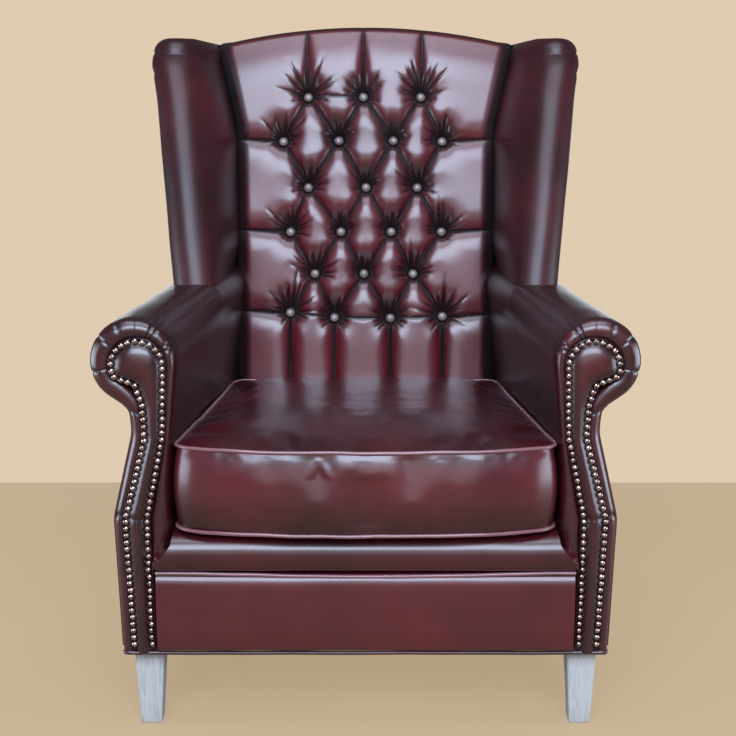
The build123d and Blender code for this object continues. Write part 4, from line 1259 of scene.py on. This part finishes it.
def cushion_outline(a, b, height, grow=0.0):
    """The rounded outline of the cushion, for a and b on the edge of a square from -1 to 1."""
    rear = rear_at(DECK_Z + height) - PAD_OUT / math.cos(RAKE) - height * math.sin(SLOPE) - 10
    half_x, half_y = HALF_SEAT + grow, (rear - CUSHION_FRONT) / 2 + grow
    x, y = a * half_x, b * half_y
    radius = CORNER + grow
    corner_x, corner_y = np.abs(x) - (half_x - radius), np.abs(y) - (half_y - radius)
    both = (corner_x > 0) & (corner_y > 0)
    far = np.maximum(np.hypot(corner_x, corner_y), 1e-6)
    x = np.where(both, np.sign(x) * (half_x - radius + corner_x * radius / far), x)
    y = np.where(both, np.sign(y) * (half_y - radius + corner_y * radius / far), y)
    setback = y + (rear + CUSHION_FRONT) / 2
    setback = setback + (-12 + 40 * np.abs(x / half_x) ** 3) * np.clip(-b, 0, 1)
    x = x - np.sign(x) * 3 * (1 - b**2) * np.clip(np.abs(a), 0, 1)
    x = x * (1 - TOE * np.maximum(setback - CUSHION_FRONT, 0) / half_x)
    return x, setback


def cushion_shape(co, crown_height):
    """Maps a cube from -1 to 1 onto the boxed cushion."""
    a, b, c = co[:, 0], co[:, 1], co[:, 2]
    reach = np.maximum(np.maximum(np.abs(a), np.abs(b)), 1e-9)
    height = LOW_SEAM + (WALL - LOW_SEAM) * (c + 1) / 2
    edge_x, edge_s = cushion_outline(a / reach, b / reach, height)
    x, setback = edge_x * reach, CUSHION_MIDDLE + (edge_s - CUSHION_MIDDLE) * reach
    rise = np.where(c > 0.999, crown_height * (1 - reach**2.6) ** 0.9, 0)
    rise = np.where(c < -0.999, -UNDER_HOLLOW * (1 - reach**8), rise)
    wall = (np.abs(c) < 0.999) & (reach > 0.999)
    swell = np.where(wall, np.where(b < -0.999, FRONT_SWELL, SIDE_SWELL) * (1 - c**2), 0)
    x = x + np.sign(a) * swell * (np.abs(a) > 0.999)
    setback = setback + np.sign(b) * swell * (np.abs(b) > 0.999)
    return seat_point(x, setback, height + rise)


cushion = new_primitive(bpy.ops.mesh.primitive_cube_add, size=2)
with edit_mode():
    bpy.ops.mesh.subdivide(number_cuts=53)
cube_co = points_of(cushion)
at_side = np.max(np.abs(cube_co[:, :2]), axis=1) > 1 - 1e-4
on_seam = (np.abs(np.abs(cube_co[:, 2]) - 1) < 1e-4) & at_side
move_points(cushion, mm * cushion_shape(cube_co, CROWN - STUFFING_LIMIT))
weld(cushion, 0.00001)
print("cushion before stuffing:", len(cushion.data.polygons), "faces,", int(on_seam.sum()), "seam points")

# %% Stuff the cushion
pins = cushion.vertex_groups.new(name="seams")
for held in (on_seam, cube_co[:, 2] < -0.999):
    pins.add([int(i) for i in np.nonzero(held)[0]], 1.0, "REPLACE")
before = points_of(cushion)
swelling = cushion.modifiers.new("stuffing", "CLOTH")
swelling.settings.quality = 5
swelling.settings.mass = 0.4
swelling.settings.tension_stiffness = 12
swelling.settings.compression_stiffness = 12
swelling.settings.bending_stiffness = 8.0
swelling.settings.use_pressure = True
swelling.settings.uniform_pressure_force = 3.0
swelling.settings.shrink_min = -0.012
swelling.settings.vertex_group_mass = "seams"
swelling.settings.effector_weights.gravity = 0
for step in range(1, 21):
    bpy.context.scene.frame_set(step)
bpy.ops.object.modifier_apply(modifier="stuffing")
bpy.context.scene.frame_set(1)
moved = points_of(cushion) - before
far = np.linalg.norm(moved, axis=1)
moved *= (np.minimum(far, STUFFING_LIMIT * mm) / np.maximum(far, 1e-9))[:, None]
move_points(cushion, before + moved)
pick(cushion.data.vertices, ~on_seam & (np.abs(cube_co[:, 2]) < 0.95))
with edit_mode(None):
    bpy.ops.mesh.vertices_smooth(factor=0.5, repeat=3)
print("stuffing moved the leather by up to", round(float(far.max()) / mm, 1), "mm")

# %% [markdown]
# Along the seams, the leather dips before it rises, and it puckers where the sewing has drawn it up.
# Those dips come after the stuffing, because the pressure would smooth them away. Two folds lean
# together under the front seam, where the cover has been gathered.

# %% Seams and painted shade of the cushion
PUCKER_X, PUCKER_TOP = -68, WALL - 4
shape_with(cushion, "SUBSURF", levels=1, render_levels=1)
co = points_of(cushion) / mm
height = (co[:, 2] - DECK_Z) * math.cos(SLOPE) + (co[:, 1] - FRONT_Y) * math.sin(SLOPE)
setback = (co[:, 1] - FRONT_Y) * math.cos(SLOPE) - (co[:, 2] - DECK_Z) * math.sin(SLOPE)
puckers = np.clip(ripple(co * np.array([1, 1, 0.25]), 13, 31), -1, 1)
long_folds = ripple(co * np.array([1, 1, 0.1]), 60, 33)
front_wall = ramp(setback, -18, -26) * ramp(height, WALL, WALL - 10)
near_top_seam = np.exp(-np.abs(height - WALL + 9) / 9)
near_low_seam = np.exp(-np.abs(height - 14) / 8)
co[:, 1] += front_wall * (1.1 * puckers * (near_top_seam + near_low_seam) + 1.6 * long_folds)
for lean in (-0.32, 0.5):
    below = PUCKER_TOP - height
    gap = np.abs(co[:, 0] - PUCKER_X - lean * below)
    co[:, 1] -= front_wall * 2.6 * bell(gap, 4.5) * np.sin(math.pi * np.clip(below / 34, 0, 1))
broad, fine = (ripple(co * np.array([1, 1, 0]), *swell) for swell in ((85, 35), (30, 36)))
co[:, 2] += ramp(height, WALL, WALL + 6) * (1.4 * broad + 0.5 * fine)
move_points(cushion, co * mm)
# Painted shade: the walls are darker towards the deck and just under the front top seam, and lighter in
# their middle than the top.
cushion_shade = 0.62 + 0.25 * ramp(height, 20, 80) * (height < WALL - 2) - 0.2 * near_top_seam * front_wall
finish_piece(
    cushion, "stuffed_cushion", ("cushion_cover", "cushion_foam"), body="seat_cushion",
    rub_and_shade=cushion_shade, angle=75,
)

# %% Cushion piping
run = np.linspace(-1, 1, 90, endpoint=False)
end = np.ones(90)
square_a, square_b = np.concatenate([run, end, -run, -end]), np.concatenate([-end, run, end, -run])
for label, height in (("top", WALL), ("bottom", LOW_SEAM)):
    x, setback = cushion_outline(square_a, square_b, height, grow=1.6)
    seam = seat_point(x, setback, np.full(len(x), height))
    piping(
        seam, 2.8, f"{label}_cushion_cord", (f"cushion_{label}_piping",), "seat_cushion",
        wander=1.1, seed=40 + len(label),
    )

# %% [markdown]
# Under the cushion is the deck, a thin pad in plain cloth. It is seen only when the cushion is drawn
# out, so the softened copy of its solid is enough.

# %% Seat deck
deck = softened_copy("seat_deck", 5.0, 4)
finish_piece(deck, "deck_pad", ("seat_deck",), "deck_cloth", rub_and_shade=None, angle=60)

# %% [markdown]
# The legs are square and taper to the floor. A cube is stretched from the base to the floor, its foot
# is drawn in, the rear ones are raked, and all edges are eased with a small bevel.

# %% Legs
LEG_HEAD, LEG_TAPER = 45, 14
for end, at_x, at_setback, lean in (("front", 324, 42, 0), ("rear", 262, 553, 42)):
    for side, name in SIDES:
        leg = new_primitive(bpy.ops.mesh.primitive_cube_add, size=1)
        with edit_mode():
            bpy.ops.mesh.subdivide(number_cuts=2)
        co = points_of(leg)
        share = 0.5 - co[:, 2]
        width = LEG_HEAD - LEG_TAPER * share + 0.35 * ripple(co * 100, 40, 50 + at_x + side)
        x = side * at_x + co[:, 0] * width
        y = FRONT_Y + at_setback + lean * share + co[:, 1] * width
        move_points(leg, mm * np.column_stack([x, y, LEG_Z * (1 - share)]))
        sharp = math.radians(50)
        shape_with(leg, "BEVEL", width=1.6 * mm, segments=3, limit_method="ANGLE", angle_limit=sharp)
        finish_piece(
            leg, f"{end}_{name}_taper_leg", (f"{end}_{name}_leg",), "limed_oak", rub_and_shade=None, angle=30,
        )

# %% [markdown]
# The room is only a pale floor and soft light. The camera sees the floor in the warm cream of packing
# board, and the same cream behind the chair. The rays that light the leather meet a darker floor and a
# dim room, because polished dark leather shows every pale surface round it as a grey veil.

# %% Floor
FLOOR_WIDE, FLOOR_LONG, FLOOR_REAR = 9.0, 6.93, 0.93
floor = new_primitive(bpy.ops.mesh.primitive_plane_add, size=1)
spot = np.array([0, FLOOR_REAR - FLOOR_LONG / 2, -0.0005])
move_points(floor, points_of(floor) * np.array([FLOOR_WIDE, FLOOR_LONG, 0]) + spot)
floor.name = "studio_floor"
paint = Paint("studio_floor", Roughness=0.7)
paint.colour(paint.noise(2.0, 2.0), (0.2, (0.24, 0.17, 0.1)), (0.8, (0.27, 0.19, 0.115)))
cream, blend = paint.add("Emission"), paint.add("MixShader")
paint.give(cream.inputs["Color"], (0.98, 0.74, 0.46, 1))
seen = paint.add("LightPath").outputs["Is Camera Ray"]
paint.give(blend.inputs["Fac"], paint.maths("MULTIPLY", seen, 0.42))
paint.give(blend.inputs[1], paint.shader.outputs["BSDF"])
paint.give(blend.inputs[2], cream.outputs["Emission"])
paint.give(paint.tree.nodes["Material Output"].inputs["Surface"], blend.outputs["Shader"])
floor.data.materials.append(paint.material)
print("floor", FLOOR_WIDE, "by", FLOOR_LONG, "metres")

# %% [markdown]
# One large bluish window hangs high in front, which puts the broad highlights on the pillows of the
# back. A lamp overhead lights the arms and the cushion's top, two low ones at the sides draw long soft
# lines down the flanks, a faint one fills in from the front, and one behind keeps the rear readable.

# %% Light
COOL = (0.7, 0.82, 1.0)


def soft_lamp(name, place, aim, size, power, tint):
    """A rectangular lamp that points at a place."""
    turn = (Vector(aim) - Vector(place)).to_track_quat("-Z", "Y").to_euler()
    bpy.ops.object.light_add(type="AREA", location=place)
    lamp = bpy.context.object
    lamp.name = name
    lamp.rotation_euler = turn
    lamp.data.shape = "RECTANGLE"
    lamp.data.size, lamp.data.size_y = size
    lamp.data.energy = power
    lamp.data.color = tint


soft_lamp("front_window", (0.0, -3.4, 2.75), (0, 0, 0.75), (3.6, 1.9), 250, (0.66, 0.79, 1.0))
soft_lamp("front_fill", (0.0, -4.4, 1.0), (0, 0, 0.4), (3.0, 1.0), 12, (1.0, 0.97, 0.93))
soft_lamp("overhead", (0.0, -0.9, 3.2), (0, -0.1, 0.5), (2.8, 1.6), 60, (0.72, 0.83, 1.0))
soft_lamp("left_side", (-2.3, -0.5, 0.45), (0, -0.3, 0.4), (2.2, 0.85), 34, COOL)
soft_lamp("right_side", (2.3, -0.5, 0.45), (0, -0.3, 0.4), (2.2, 0.85), 34, COOL)
soft_lamp("rear_window", (0.0, 3.4, 0.55), (0, 0, 0.55), (3.2, 0.9), 24, (0.9, 0.95, 1.0))

# %% World
world = bpy.data.worlds.new("studio")
world.use_nodes = True
bpy.context.scene.world = world
air = world.node_tree
room = air.nodes["Background"]
backdrop = air.nodes.new("ShaderNodeBackground")
room.inputs["Color"].default_value = (0.9, 0.92, 1.0, 1)
room.inputs["Strength"].default_value = 0.13
backdrop.inputs["Color"].default_value = (0.74, 0.6, 0.44, 1)
backdrop.inputs["Strength"].default_value = 1.0
path = air.nodes.new("ShaderNodeLightPath")
mix = air.nodes.new("ShaderNodeMixShader")
shown = air.nodes.new("ShaderNodeMath")
shown.operation = "MAXIMUM"
air.links.new(path.outputs["Is Camera Ray"], shown.inputs[0])
air.links.new(path.outputs["Is Transmission Ray"], shown.inputs[1])
air.links.new(shown.outputs[0], mix.inputs["Fac"])
air.links.new(room.outputs["Background"], mix.inputs[1])
air.links.new(backdrop.outputs["Background"], mix.inputs[2])
air.links.new(mix.outputs["Shader"], air.nodes["World Output"].inputs["Surface"])
bpy.context.scene.view_settings.view_transform = "Standard"
print("world:", world.name)
